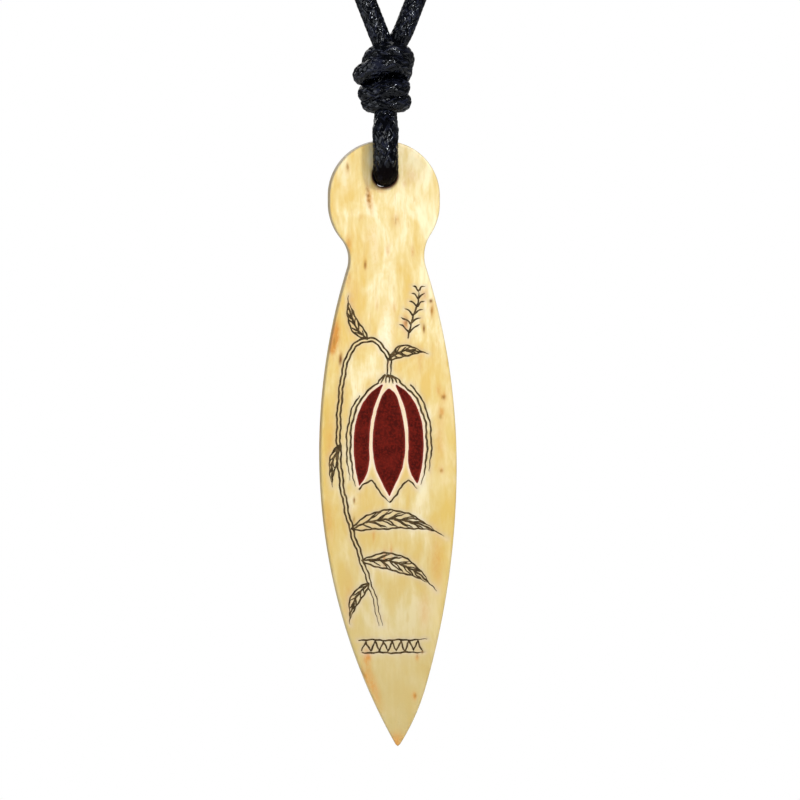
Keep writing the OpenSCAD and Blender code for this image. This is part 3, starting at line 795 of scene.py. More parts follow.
def red_stain(settings):
    """Deep red colour in a ground hollow: darker specks, and paler where it thins at the edge."""
    material, tree, shader, place = start_material("red_stain")
    specks = noise(tree, place, 3.6, 4.0, 0.7)
    cloud = noise(tree, place, 0.8, 2.0, 0.5)
    dark_red = tuple(0.4 * c for c in settings.red)
    colour = blended(tree, between(tree, specks, 0.42, 0.62), dark_red, settings.red)
    colour = blended(tree, between(tree, cloud, 0.4, 0.65, 0.0, 0.4), colour, RED_CLOUD)
    colour = blended(tree, measured(tree, "edge"), colour, RED_EDGE)
    tree.links.new(colour, shader.inputs["Base Color"])
    shader.inputs["Roughness"].default_value = 0.6
    shader.inputs["Specular IOR Level"].default_value = 0.06
    add_bump(tree, shader, specks, 0.00005)
    return material


def line_ink(settings):
    """Dark olive ink, browner where it is thin."""
    material, tree, shader, place = start_material("line_ink")
    patches = noise(tree, place, 2.2, 3.0, 0.6)
    colour = blended(tree, between(tree, patches, 0.4, 0.7), settings.ink, THIN_INK)
    tree.links.new(colour, shader.inputs["Base Color"])
    shader.inputs["Roughness"].default_value = 0.6
    shader.inputs["Specular IOR Level"].default_value = 0.1
    return material


# The plate's outline, in its own frame

def circle_meet(c1, r1, c2, r2, toward):
    """Crossing of two circles that lies furthest along the given direction."""
    apart = c2 - c1
    length = np.linalg.norm(apart)
    foot = (r1**2 - r2**2 + length**2) / (2 * length)
    half = np.sqrt(r1**2 - foot**2)
    across = np.array([-apart[1], apart[0]]) / length
    sign = 1.0 if across @ toward > 0 else -1.0
    return c1 + apart * foot / length + sign * across * half


def heading(v):
    """Angle of a direction, counted from the right."""
    return np.arctan2(v[1], v[0])


def outline(inset):
    """The plate's outline drawn in by an inset, as points in order: round head, left hollow,
    shoulder, flank, tip, and the right side back up. Outward circles shrink, hollows grow.
    Each stretch has a fixed number of points, so equal numbers match at every inset."""
    upper = np.array([0.0, HEAD_TOP - HEAD_R])
    lower = upper - [0, HEAD_STRAIGHT]
    left, right = LEFT_SIDE, RIGHT_SIDE
    l_shoulder = np.array([left["shoulder"] - left["width"], -left["widest"]])
    l_flank = np.array([left["flank"] - left["width"], -left["widest"]])
    r_shoulder = np.array([right["width"] - right["shoulder"], -right["widest"]])
    r_flank = np.array([right["width"] - right["flank"], -right["widest"]])
    l_hollow = circle_meet(lower, HEAD_R + left["hollow"], l_shoulder,
                           left["shoulder"] + left["hollow"], np.array([-1.0, 0]))
    r_hollow = circle_meet(lower, HEAD_R + right["hollow"], r_shoulder,
                           right["shoulder"] + right["hollow"], np.array([1.0, 0]))
    turn = np.arcsin(TURN_IN_DROP / right["flank"])
    r_turn = r_flank + (right["flank"] - TURN_IN_R) * np.array([np.cos(turn), -np.sin(turn)])
    tip_r = max(TIP_R - inset, LEAST_TIP_R)
    tip = circle_meet(l_flank, left["flank"] - inset - tip_r,
                      r_turn, TURN_IN_R - inset - tip_r, np.array([0, -1.0]))
    full = 2 * np.pi
    stretches = (
        (upper, HEAD_R - inset, 0.0, np.pi, ON_HEAD),
        (lower, HEAD_R - inset, np.pi, full + heading(l_hollow - lower), ON_HEAD_FOOT),
        (l_hollow, left["hollow"] + inset,
         heading(lower - l_hollow), heading(l_shoulder - l_hollow), ON_HOLLOW),
        (l_shoulder, left["shoulder"] - inset, heading(l_hollow - l_shoulder), np.pi, ON_SHOULDER),
        (l_flank, left["flank"] - inset, np.pi, full + heading(tip - l_flank), ON_FLANK),
        (tip, tip_r, heading(tip - l_flank), heading(tip - r_turn), ON_TIP),
        (r_turn, TURN_IN_R - inset, heading(tip - r_turn), -turn, ON_TURN_IN),
        (r_flank, right["flank"] - inset, -turn, 0.0, ON_RIGHT_FLANK),
        (r_shoulder, right["shoulder"] - inset, 0.0, heading(r_hollow - r_shoulder), ON_SHOULDER),
        (r_hollow, right["hollow"] + inset,
         full + heading(r_shoulder - r_hollow), heading(lower - r_hollow), ON_HOLLOW),
        (lower, HEAD_R - inset, heading(r_hollow - lower), 0.0, ON_HEAD_FOOT),
    )
    points = []
    for centre, radius, start, end, count in stretches:
        angle = np.linspace(start, end, count, endpoint=False)[:, None]
        points.append(centre + radius * np.hstack([np.cos(angle), np.sin(angle)]))
    return np.vstack(points)


def on_outline(points, index):
    """Places on a closed outline at whole and broken point numbers."""
    n = len(points)
    low = np.floor(index).astype(int)
    share = (index - low)[:, None]
    return points[low % n] * (1 - share) + points[(low + 1) % n] * share


def plate_t(up):
    """Thickness of the plate: it falls evenly from the head's top to the tip."""
    tip_up = outline(0.0)[TIP_MID, 1]
    return TIP_T + (HEAD_T - TIP_T) * (up - tip_up) / (HEAD_TOP - tip_up)


def ripple(across, up, seed, length, height):
    """Sum of a dozen shallow waves in random directions, for hand-worked unevenness."""
    rng = np.random.default_rng(seed)
    turn, phase = rng.uniform(0, 2 * np.pi, (2, 12))
    waves = 2 * np.pi / (length * rng.uniform(0.7, 1.6, 12))
    total = 0.0
    for a, p, k in zip(turn, phase, waves):
        total = total + np.sin(k * (across * np.cos(a) + 0.4 * up * np.sin(a)) + p)
    return total * height / 4


def spots(across, up, table):
    """Sum of soft oval marks: each is exp(-(x/w)^2 - (y/h)^2) in its own leaning axes."""
    total = np.zeros(len(across))
    for x, y, w, h, strength, lean in table:
        a = np.radians(lean)
        dx, dy = across - x, up - y
        over_width = (dx * np.cos(a) - dy * np.sin(a)) / w
        over_height = (dx * np.sin(a) + dy * np.cos(a)) / h
        total += strength * np.exp(-over_width ** 2 - over_height ** 2)
    return total


def faded(away, reach):
    """Strength of a mark at some distance from it: exp(-(away / reach)^2)."""
    return np.exp(-(away / reach) ** 2)


def face_depth(across, up):
    """How far the worked face lies inside the flat plate: long and short shallow waves left by
    the file, about a mean depth."""
    mean = 0.02
    return ripple(across, up, 5, 7.0, 0.022) + ripple(across, up, 6, 2.2, 0.004) + mean


def to_place(across, up, back):
    """From the plate's own frame to the necklace's: turned so that it hangs straight."""
    x = across * np.cos(HANG_TURN) + up * np.sin(HANG_TURN)
    z = up * np.cos(HANG_TURN) - across * np.sin(HANG_TURN)
    return np.stack([x, back, z], axis=-1) + HOLE_AT


# The engraving, in the plate's own frame

def petal_rows(name, rows):
    """Up, left and right edge of a petal at even steps down its length."""
    table = curve_through(np.array(PETALS[name]), 24)
    at = np.linspace(0, 1, rows)
    run = np.linspace(0, 1, len(table))
    return read_off(table, run, at)


def petal_outlines():
    """Each petal's edge as a closed line of points."""
    lines = []
    for name in PETALS:
        up, left, right = petal_rows(name, 60).T
        lines.append(np.vstack([np.stack([left, up], axis=1), np.stack([right, up], axis=1)[::-1]]))
    return lines


def leaf_strokes(base, tip, width, bend, veins):
    """Lines of one leaf. Its middle is base + (tip - base) s + normal * bend * 4s(1-s), and its
    edges stand off by width/2 * sin(pi s^0.8)^0.9. Veins slant from the middle to the edges."""
    base, tip = np.array(base), np.array(tip)
    along = tip - base
    normal = np.array([-along[1], along[0]]) / np.linalg.norm(along)

    def place(s, off):
        """Places at shares s of the leaf's length, off to the side of its middle."""
        s = np.asarray(s, float)[..., None]
        return base + along * s + normal * (bend * 4 * s * (1 - s) + off[..., None])

    def half(s):
        """Half of the leaf's width at shares s of its length."""
        return 0.5 * width * np.sin(np.pi * np.clip(s, 0, 1) ** 0.8) ** 0.9

    s = np.linspace(0, 1, 30)
    strokes = [(place(s, half(s)), 0.9), (place(s, -half(s)), 0.9),
               (place(np.linspace(0, 1.14, 30), np.zeros(30)), 1.0)]
    first_root, roots, vein, shift = 0.1, 0.68, 0.17, 0.03
    for k in range(veins):
        root = first_root + roots * k / veins
        t = np.linspace(0, 1, 8)
        reach = root + vein * t
        side = 1 if k % 2 else -1
        strokes.append((place(reach, side * t * half(reach) * 0.92), 0.75))
        strokes.append((place(reach + shift, -side * t * half(reach + shift) * 0.85), 0.7))
    return strokes


def offset_line(points, shift):
    """A line moved sideways by a fixed distance."""
    ahead = unit(np.gradient(points, axis=0))
    return points + shift * np.stack([-ahead[:, 1], ahead[:, 0]], axis=1)


def all_strokes():
    """Every engraved line as (points, share of the full line width)."""
    half_stem, stem_seed = 0.18, 900
    stem = uneven(curve_through(STEM, 12), stem_seed)
    stems = [(offset_line(stem, half_stem), 1.0), (offset_line(stem, -half_stem), 1.0)]
    strokes = []
    for leaf in LEAVES:
        strokes += leaf_strokes(*leaf)
    # Outline of the bud, a little outside the red, and the fold lines on its petals
    inner, outer_left, outer_right = 0.34, 0.72, 0.78
    left, right = petal_rows("left", 40), petal_rows("right", 40)
    strokes.append((offset_line(left[:, [1, 0]], -inner), 1.1))
    strokes.append((offset_line(right[:, [2, 0]], inner), 1.1))
    strokes.append((offset_line(left[2:-2, [1, 0]], -outer_left)[6:34], 0.8))
    strokes.append((offset_line(right[2:-2, [2, 0]], outer_right)[2:30], 0.9))
    strokes += [(np.array(line), 0.9) for line in BUD_MOUTH]
    # Cap between stem and bud, lines that spread downwards
    cap_left, cap_width = -0.75, 2.4
    for k in range(CAP_LINES):
        x = cap_left + cap_width * k / (CAP_LINES - 1)
        spread = x - CAP_MIDDLE
        line = (0.35 + 0.3 * spread, -20.3), (CAP_MIDDLE + 0.8 * spread, -20.8), (x, -21.2)
        strokes.append((np.array(line), 0.8))
    # Twig with short leaves in pairs
    longest, shorter = 1.25, 0.09
    twig = curve_through(TWIG, 10)
    strokes.append((twig, 0.9))
    for k, at in enumerate(range(4, 30, 5)):
        root, size = twig[at], longest - shorter * k
        for side in (-1, 1):
            tip = root + size * np.array([side * 0.85, 0.62])
            bow = 0.5 * (root + tip) + np.array([-side * 0.05, 0.16])
            strokes.append((curve_through([root, bow, tip], 6), 0.85))
    # Band of teeth near the tip
    teeth, clear = BAND["teeth"], 0.12
    xs = np.linspace(BAND["left"], BAND["right"], 2 * teeth + 1)
    ups = np.where(np.arange(2 * teeth + 1) % 2, BAND["top"] - clear, BAND["bottom"] + clear)
    zigzag = np.stack([xs, ups], axis=1)
    strokes += [(zigzag[k:k + 2], 0.85) for k in range(2 * teeth)]
    for up, inset in ((BAND["top"], 0.0), (BAND["bottom"], 0.28)):
        start, end = BAND["left"] - 0.3 + inset, BAND["right"] + 0.5 - inset
        strokes.append((np.array([(start, up), (0.8, up - 0.06), (end, up)]), 0.9))
    return stems + [(uneven(points, n), share) for n, (points, share) in enumerate(strokes)]


def uneven(points, seed):
    """A line at even steps with the small waver of a hand."""
    step, fewest_steps, waver = 0.12, 4, 0.028
    run = run_along(points)
    at = np.linspace(0, run[-1], max(int(run[-1] / step), fewest_steps) + 1)
    line = read_off(points, run, at)
    rng = np.random.default_rng(100 + seed)
    for length in (2.6, 0.9):
        phase = rng.uniform(0, 2 * np.pi, 2)
        wave = np.sin((2 * np.pi * at / length)[:, None] + phase)
        line = line + waver * length**0.5 * wave
    return line


def distance_to(points, places):
    """Distance from each point to the nearest of many places, in slices to save memory."""
    at_once = 4000
    result = np.empty(len(points))
    square = np.sum(places**2, axis=1)
    for first in range(0, len(points), at_once):
        part = points[first:first + at_once]
        apart = square[None] - 2 * part @ places.T + np.sum(part**2, axis=1)[:, None]
        result[first:first + at_once] = np.sqrt(np.maximum(apart.min(axis=1), 0))
    return result


def petal_distance(points):
    """Signed distance to the nearest petal's edge: negative inside."""
    spacing = 0.05
    best = np.full(len(points), FAR_OFF)
    for line in petal_outlines():
        closed = np.vstack([line, line[:1]])
        run = run_along(closed)
        fine = read_off(closed, run, np.arange(0, run[-1], spacing))
        away = distance_to(points, fine)
        x, y = points[:, :1], points[:, 1:]
        x0, y0, x1, y1 = (closed[:-1, 0], closed[:-1, 1], closed[1:, 0], closed[1:, 1])
        crosses = (y0 > y) != (y1 > y)
        rise = np.where(y1 == y0, 1.0, y1 - y0)
        crosses &= x < (x1 - x0) * (y - y0) / rise + x0
        inside = np.sum(crosses, axis=1) % 2 == 1
        signed = np.where(inside, -away, away)
        best = np.where(signed < best, signed, best)
    return best


def engraved_depth(across, up, strokes):
    """Depth of the ground hollow under the red, which slopes at its edge, or of the soft
    furrows along the lines, whichever is more, and the distances to red and lines."""
    points = np.stack([across, up], axis=1)
    red = np.full(len(points), FAR_OFF)
    lines = np.full(len(points), FAR_OFF)
    drawn = (up < DRAWN_TOP) & (up > DRAWN_FOOT)
    red[drawn] = petal_distance(points[drawn])
    lines[drawn] = distance_to(points[drawn], np.vstack([line for line, _ in strokes]))
    past_red, slope, half_furrow = 0.12, 0.32, 0.24
    hollow = HOLLOW_DEPTH * np.clip((past_red - red) / slope, 0, 1)
    furrow = FURROW_DEPTH * np.clip(1 - lines / half_furrow, 0, 1)
    return np.maximum(hollow, furrow), red, lines


def rim_at(up, settings):
    """Radius of the rim's rounding: small round the head, larger down the body, small again
    at the tip."""
    body_top, body_foot, ease, extra = -7, -58.2, 8, 0.5
    body = np.clip((body_top - up) / ease, 0, 1) * np.clip((up - body_foot) / ease, 0, 1)
    return settings.rim / MM * (1 + extra * body)


class PlateSkin:
    """The plate's points as they are laid, each with across, up, back, its face (-1 in front,
    1 behind, 0 between) and its share of side wall, and the faces between rows of them."""

    def __init__(self):
        self.points, self.count = [], 0
        self.triangles, self.quads = [], []

    def lay(self, places, face, back=None, side=0.0):
        """Adds points and gives their numbers. Without a depth they lie on the flat face."""
        across, up = places.T
        if back is None:
            back = face * plate_t(up) / 2
        self.points.append(np.stack(np.broadcast_arrays(across, up, back, face, side), axis=1))
        first = self.count
        self.count += len(places)
        return np.arange(first, self.count)

    def join(self, a, b):
        """Faces between two equal rows of point numbers, or two sheets of such rows."""
        corners = np.stack([a[..., :-1], a[..., 1:], b[..., 1:], b[..., :-1]], axis=-1)
        self.quads.append(corners.reshape(-1, 4))

    def join_round(self, ring, rings, last):
        """Faces from one closed ring of points over the rings that follow, to the last."""
        for following in (*rings, last):
            self.join(np.append(ring, ring[0])[None], np.append(following, following[0])[None])
            ring = following


def even_numbers(edge, first, last, count):
    """Broken point numbers of places that lie evenly along a stretch of the outline."""
    samples = 4000
    numbers = np.linspace(first, last, samples)
    run = run_along(on_outline(edge, numbers))
    return np.interp(np.linspace(0, run[-1], count), run, numbers)


def plate_face(skin, sign, left, right, head, hole_r):
    """One face of the plate: rows from the left to the right edge below the hollows, a fan at
    the tip, and rings from the hole out to the head's edge. Gives the numbers of the points
    round its edge and round the hole, and the directions to the latter."""
    columns = COLUMNS if sign < 0 else BACK_COLUMNS
    step = COLUMNS // columns
    share = np.linspace(0, 1, COLUMNS + 1)[:, None]
    top_places = left[0] * (1 - share) + right[0] * share
    top = skin.lay(top_places, sign)
    share = np.linspace(0, 1, columns + 1)[None, :, None]
    rows = left[1:-1, None] * (1 - share) + right[1:-1, None] * share
    body = skin.lay(rows.reshape(-1, 2), sign).reshape(ROWS - 1, columns + 1)
    tip = skin.lay(left[-1:], sign)
    if step == 1:
        skin.join(top[None], body[:1])
    else:
        # The back has fewer columns, so its first row meets the head's in fans
        c = np.arange(columns)
        for k in range(step):
            low = body[0, c] if k < step // 2 else body[0, c + 1]
            skin.triangles.append(np.stack([top[c * step + k], top[c * step + k + 1], low], axis=1))
        middle = top[c * step + step // 2]
        skin.triangles.append(np.stack([body[0, c], middle, body[0, c + 1]], axis=1))
    skin.join(body[:-1], body[1:])
    skin.triangles.append(np.stack([body[-1, :-1], body[-1, 1:], np.full(columns, tip[0])], axis=1))

    head_edge = skin.lay(head, sign)
    outer_places = np.vstack([top_places, head])
    directions = unit(outer_places)
    reach = (np.arange(HEAD_RINGS) / HEAD_RINGS)[:, None, None]
    rings = directions * hole_r * (1 - reach) + outer_places * reach
    rings = skin.lay(rings.reshape(-1, 2), sign).reshape(HEAD_RINGS, -1)
    whole = np.vstack([rings, np.concatenate([top, head_edge])])
    whole = np.hstack([whole, whole[:, :1]])
    skin.join(whole[:-1], whole[1:])
    edge = np.concatenate([head_edge, top[:1], body[:, 0], tip, body[::-1, -1], top[-1:]])
    return edge, rings[0], directions


def plate_surface(settings):
    """The plate as one closed skin: two faces, and between them rings of the outline, drawn in
    by rim (1 - cos a) and sunk by rim (1 - sin a), and rings of the hole, widened and sunk
    alike. The walls between two roundings are rings at a = 0 and less depth."""
    hole_rim = settings.hole_rim / MM
    base = outline(0.0)
    small = 0.1
    inward = (outline(small) - base) / small
    rim = rim_at(base[:, 1], settings)
    edge = base + inward * rim[:, None]

    left_numbers = even_numbers(edge, HOLLOW_MID_L, TIP_MID, ROWS + 1)
    right_numbers = even_numbers(edge, HOLLOW_MID_R, TIP_MID, ROWS + 1)
    head_numbers = even_numbers(edge, HOLLOW_MID_R - len(edge), HOLLOW_MID_L, HEAD_RAYS + 1)[1:-1]
    round_numbers = np.concatenate(
        [head_numbers, left_numbers[:-1], [TIP_MID], right_numbers[:-1][::-1]])
    left, right, head = (on_outline(edge, n) for n in (left_numbers, right_numbers, head_numbers))

    skin = PlateSkin()
    front_edge, front_hole, directions = plate_face(skin, -1, left, right, head, HOLE_R + hole_rim)
    back_edge, back_hole, _ = plate_face(skin, 1, left, right, head, HOLE_R + hole_rim)

    base, inward = on_outline(base, round_numbers), on_outline(inward, round_numbers)
    rim = on_outline(rim[:, None], round_numbers)[:, 0]

    def rim_rings():
        """Rings over the edge, from the front face to the back face."""
        rounding = np.radians([72, 54, 36, 18, 0])
        profile = [(-1, a) for a in rounding] + [(w, 0.0) for w in (-0.5, 0.0, 0.5)]
        for share, a in profile + [(1, a) for a in rounding[::-1]]:
            flat, sunk = 1 - np.cos(a), 1 - np.sin(a)
            places = base + inward * (rim * flat)[:, None]
            depth = share * (plate_t(places[:, 1]) / 2 - rim * sunk)
            yield skin.lay(places, 0, depth, sunk)

    def hole_rings():
        """Rings through the hole, from the front face to the back face."""
        rounding = np.radians([60, 30, 0])
        half = plate_t(np.zeros(1))[0] / 2
        profile = [(-1, a) for a in rounding] + [(0, 0.0)]
        for share, a in profile + [(1, a) for a in rounding[::-1]]:
            places = directions * (HOLE_R + hole_rim * (1 - np.cos(a)))
            yield skin.lay(places, 0, share * (half - hole_rim * (1 - np.sin(a))))

    skin.join_round(front_edge, rim_rings(), back_edge)
    skin.join_round(front_hole, hole_rings(), back_hole)
    return np.vstack(skin.points).T, [np.vstack(skin.triangles), np.vstack(skin.quads)]


def white_world(scene):
    """Surroundings that are white to the camera and soft blue-white light to all else."""
    world = bpy.data.worlds.new("White room")
    scene.world = world
    world.use_nodes = True
    tree = world.node_tree
    tree.nodes.clear()
    output = tree.nodes.new("ShaderNodeOutputWorld")
    mix = tree.nodes.new("ShaderNodeMixShader")
    path = tree.nodes.new("ShaderNodeLightPath")
    tree.links.new(path.outputs["Is Camera Ray"], mix.inputs["Fac"])
    for slot, colour, strength in ((1, (0.93, 0.96, 1.0, 1.0), 0.12), (2, (1, 1, 1, 1), 1.0)):
        sky = tree.nodes.new("ShaderNodeBackground")
        sky.inputs["Color"].default_value = colour
        sky.inputs["Strength"].default_value = strength
        tree.links.new(sky.outputs["Background"], mix.inputs[slot])
    tree.links.new(mix.outputs["Shader"], output.inputs["Surface"])


def add_lamps(scene, stage, middle):
    """The lamps of the table, each turned to the picture's middle."""
    for name, offset, size, power, colour in LAMPS:
        light = bpy.data.lights.new(name, "AREA")
        light.size, light.energy, light.color = size, getattr(stage, power), colour
        lamp = bpy.data.objects.new(name, light)
        scene.collection.objects.link(lamp)
        lamp.location = middle + Vector(offset)
        lamp.rotation_euler = (middle - lamp.location).to_track_quat("-Z", "Y").to_euler()


def pale_floor(drop):
    """A square slab below the necklace, its top at the given distance under the tip."""
    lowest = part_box("pendant")[0].z
    half, thick = 350.0, 6
    corners = np.array([[-half, -half, 0], [half, -half, 0], [half, half, 0], [-half, half, 0]])
    corners = np.vstack([corners, corners - [0, 0, thick]])
    corners = corners + [0, HOLE_AT[1], lowest / MM - drop / MM]
    sides = [[k, k + 4, (k + 1) % 4 + 4, (k + 1) % 4] for k in range(4)]
    faces = np.array([[0, 1, 2, 3], [7, 6, 5, 4]] + sides)
    material, tree, shader, place = start_material("pale_floor")
    shade = noise(tree, place, 0.02, 2.0)
    tree.links.new(blended(tree, shade, *PALE_FLOOR), shader.inputs["Base Color"])
    shader.inputs["Roughness"].default_value = 0.7
    floor = new_piece("floor", corners, [faces], material)
    floor.data.polygons.foreach_set("use_smooth", np.zeros(len(faces), bool))
    return floor


class NECKLACE_OT_stage(Operator):
    """Camera at the photograph's angle, soft lamps, white surroundings and a pale floor."""

    bl_idname = "necklace.stage"
    bl_label = "Stage"

    def execute(self, context):
        stage = context.scene.necklace_stage
        scene = context.scene
        scene.view_settings.view_transform = "Standard"
        turn, rise = stage.azimuth, stage.elevation
        right = np.array([np.cos(turn), -np.sin(turn), 0.0])
        ahead = np.array([np.sin(turn) * np.cos(rise), np.cos(turn) * np.cos(rise), -np.sin(rise)])
        above = np.cross(right, ahead)
        # The picture's middle, from the hole, before the camera leans
        across, down = 0.00126, 0.022936
        target = HOLE_AT * MM + right * across - above * down
        eye = target - ahead * stage.distance
        camera = bpy.data.objects.new("Camera", bpy.data.cameras.new("Camera"))
        scene.collection.objects.link(camera)
        camera.data.sensor_width = SENSOR
        camera.data.lens = SENSOR * stage.distance / stage.view_width
        camera.data.clip_start, camera.data.clip_end = 0.01, 20.0
        look = Matrix((right, above, -ahead)).transposed().to_4x4()
        camera.matrix_world = Matrix.Translation(eye) @ look @ Matrix.Rotation(-stage.roll, 4, "Z")
        scene.camera = camera
        white_world(scene)
        add_lamps(scene, stage, Vector(target))
        floor = pale_floor(stage.floor_drop)
        return {"FINISHED"}


class NECKLACE_OT_cord(Operator):
    """The waxed cord: both neck strands, the knot above the pendant and the loop through it."""

    bl_idname = "necklace.cord"
    bl_label = "Waxed cord"

    def execute(self, context):
        settings = context.scene.necklace_cord
        material = waxed_braid(settings)
        cord = whole_cord()
        line, run, _, _, cuts = cord
        # The stretches that press on each other, with every fourth point of their middle line
        beyond = 3
        tight = (run > cuts[KNOT_LEFT] - beyond) & (run < cuts[NECK_RIGHT] + beyond)
        others = line[tight][::4], run[tight][::4]
        near, far = 96, 40
        # Name, stretches, distance between rings, points on a ring, node
        pieces = (
            ("neck_cord_left_braid", (NECK_LEFT,), 0.3, far, "neck_cord_left"),
            ("knot_braid", (KNOT_LEFT, KNOT_RIGHT), 0.1, near, "pendant_knot"),
            ("loop_braid", (LOOP_STRETCH,), 0.1, near, "bail_loop"),
            ("neck_cord_right_braid", (NECK_RIGHT,), 0.3, far, "neck_cord_right"),
        )
        for name, stretches, gap, count, node in pieces:
            pressed = others if count == near else None
            parts = [swept_cord(cord, cut, gap, count, settings, pressed) for cut in stretches]
            piece = cord_piece(name, parts, count, material)
            # Painted shade deep in the hole: there the loop gets a copy of the braid with almost no
            # gloss
            if node == "bail_loop":
                shade_in_hole(piece, waxed_braid(settings, "rubbed_braid", 0.03))
            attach(piece, "necklace")
            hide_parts(node)
        return {"FINISHED"}


class NECKLACE_OT_nape_knot(Operator):
    """The closing knot at the nape: turns of the cord round its two ends."""

    bl_idname = "necklace.nape_knot"
    bl_label = "Nape knot"

    def execute(self, context):
        settings = context.scene.necklace_cord
        material = bpy.data.materials["waxed_braid"]
        # Turns: the radius rises from the core, stays, and dips back at both ends
        turns, pitch, radius, dip, end_share = 2.9, 1.9, 1.8, 1.0, 0.09
        wrap_points, core_points = 600, 60
        share = np.linspace(0, 1, wrap_points)
        angle = 2 * np.pi * turns * share
        out = radius - dip * np.clip(1 - np.minimum(share, 1 - share) / end_share, 0, 1) ** 2
        x = pitch * (turns - 0.5) * (share - 0.5)
        wrap = np.stack([x, out * np.sin(angle), -out * np.cos(angle)], axis=1)
        core = np.linspace([-NAPE_END, 0, 0], [NAPE_END, 0, 0], core_points)
        gap, count, beyond = 0.12, 56, (900.0, 901.0)
        parts = []
        for path in (wrap, core):
            run = run_along(path)
            along = unit(np.gradient(path, axis=0))
            sides = carried_sides(along, np.array([0.0, 0.1, 1.0]))
            # No stretch of this cord is a loop, so the loop's place is beyond its end
            cuts = np.array([0.0, run[-1], *beyond])
            cord = path, run, along, sides, cuts
            parts.append(swept_cord(cord, NECK_LEFT, gap, count, settings))
        piece = cord_piece("nape_knot_braid", parts, count, material)
        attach(piece, "necklace")
        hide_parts("nape_knot")
        return {"FINISHED"}


def plate_marks(across, up, back, front, side, red, lines):
    """Strength of each stain, of the wear and of the painted shade at the plate's points. The back
    has the front's marks turned about, so that they don't lie behind each other."""
    marks = {name: np.zeros(len(across)) for name in ("brown", "orange", "pale", "lilac", "ground")}
    narrower, both_ends = 0.9, -50
    fore, aft = back < 0, back >= 0
    turned_x, turned_y = -narrower * across[aft], both_ends - up[aft]
    for where, x, y in ((fore, across[fore], up[fore]), (aft, turned_x, turned_y)):
        marks["brown"][where] = spots(x, y, BROWN_FLECKS)
        marks["orange"][where] = spots(x, y, ORANGE_STAINS)
        marks["pale"][where] = spots(x, y, PALE_PATCHES)
    lilac_reach, ground_reach, ring_width, ring_reach, wide_reach = 0.35, 0.22, 0.07, 0.09, 0.3
    marks["lilac"][front] = 0.3 * faded(lines, lilac_reach) * (red > 0)
    marks["ground"][front] = 0.8 * faded(np.maximum(red, 0), ground_reach)
    # Side walls grey-brown, most at the head: partly edge stain, partly painted shade
    marks["side"] = side * (0.3 + 0.6 * np.clip((up + 15) / 5, 0, 1))
    # Wear round the hole and painted shade in it: a dark narrow ring, which covers the bore's
    # wall, and a faint wide one
    from_hole = np.hypot(across, up) - HOLE_R
    narrow = 0.97 * faded(np.maximum(from_hole - ring_width, 0), ring_reach)
    marks["worn"] = np.maximum(narrow, 0.22 * faded(np.maximum(from_hole, 0), wide_reach))
    return marks


class NECKLACE_OT_bone_plate(Operator):
    """The bone plate with its hole, worked faces, ground hollow and furrows."""

    bl_idname = "necklace.bone_plate"
    bl_label = "Bone plate"

    def execute(self, context):
        settings = context.scene.necklace_bone
        (across, up, back, face, side), blocks = plate_surface(settings)
        front = face < 0
        cut, red, lines = engraved_depth(across[front], up[front], all_strokes())
        marks = plate_marks(across, up, back, front, side, red, lines)
        # The file's waves die out towards the edge, and flecks are shallow pits
        from_edge = distance_to(np.stack([across, up], axis=1), outline(0.0))
        calm = np.clip((from_edge - 0.5) / 0.9, 0, 1)
        sunk = calm * face_depth(across, up) + 0.05 * np.clip(marks["brown"], 0, 1)
        back = back - face * sunk
        back[front] += cut
        piece = new_piece(
            "bone_plate", to_place(across, up, back), blocks, stained_bone(settings), marks)
        face_outwards(piece)
        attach(piece, "pendant")
        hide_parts("pendant")
        return {"FINISHED"}


def petal_slab(name, first, rows, columns, spread):
    """A petal of red as a thin closed slab that reaches past its edges by spread: points, the
    share of edge at each, and faces. Its skin has the face's waves and a fine crumb."""
    thickness, edge_reach, edge_strength = 0.18, 0.12, 0.55
    up, left, right = petal_rows(name, rows).T
    ends = np.linspace(1, -1, rows)
    up = up + spread * np.sign(ends) * (np.abs(ends) > 0.99)
    left, right = (left - spread)[:, None], (right + spread)[:, None]
    share = np.linspace(0, 1, columns)
    x = left * (1 - share) + right * share
    y = np.repeat(up[:, None], columns, axis=1)
    level = -plate_t(y) / 2 + face_depth(x, y) + RED_SUNK
    crumb = ripple(x, y, 21, 0.5, 0.006) + ripple(x, y, 22, 1.3, 0.008)
    skin = to_place(x, y, level + crumb).reshape(-1, 3)
    under = to_place(x, y, level + thickness).reshape(-1, 3)
    inside = np.minimum(x - left, right - x) - spread
    edge = edge_strength * faded(np.clip(inside, 0, FAR_OFF), edge_reach).ravel()
    upper = first + np.arange(rows * columns).reshape(rows, columns)
    lower = upper + rows * columns
    faces = []
    for sheet in (upper, lower[:, ::-1]):
        corners = [sheet[:-1, :-1], sheet[1:, :-1], sheet[1:, 1:], sheet[:-1, 1:]]
        faces.append(np.stack(corners, axis=-1).reshape(-1, 4))
    ring = np.concatenate([upper[0, :-1], upper[:-1, -1], upper[-1, :0:-1], upper[:0:-1, 0]])
    low = ring + rows * columns
    faces.append(np.stack([ring, np.roll(ring, -1), np.roll(low, -1), low], axis=1))
    return np.vstack([skin, under]), np.concatenate([edge, 0 * edge]), np.vstack(faces)


class NECKLACE_OT_red_bud(Operator):
    """The red colour in the bud's three petals."""

    bl_idname = "necklace.red_bud"
    bl_label = "Red bud"

    def execute(self, context):
        rows, columns, spread = 110, 40, 0.1
        slabs = [petal_slab(name, 2 * rows * columns * k, rows, columns, spread)
                 for k, name in enumerate(PETALS)]
        points, edges, faces = zip(*slabs)
        piece = new_piece(
            "red_bud", np.vstack(points), [np.vstack(faces)],
            red_stain(context.scene.necklace_bone), {"edge": np.concatenate(edges)})
        face_outwards(piece)
        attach(piece, "pendant")
        return {"FINISHED"}


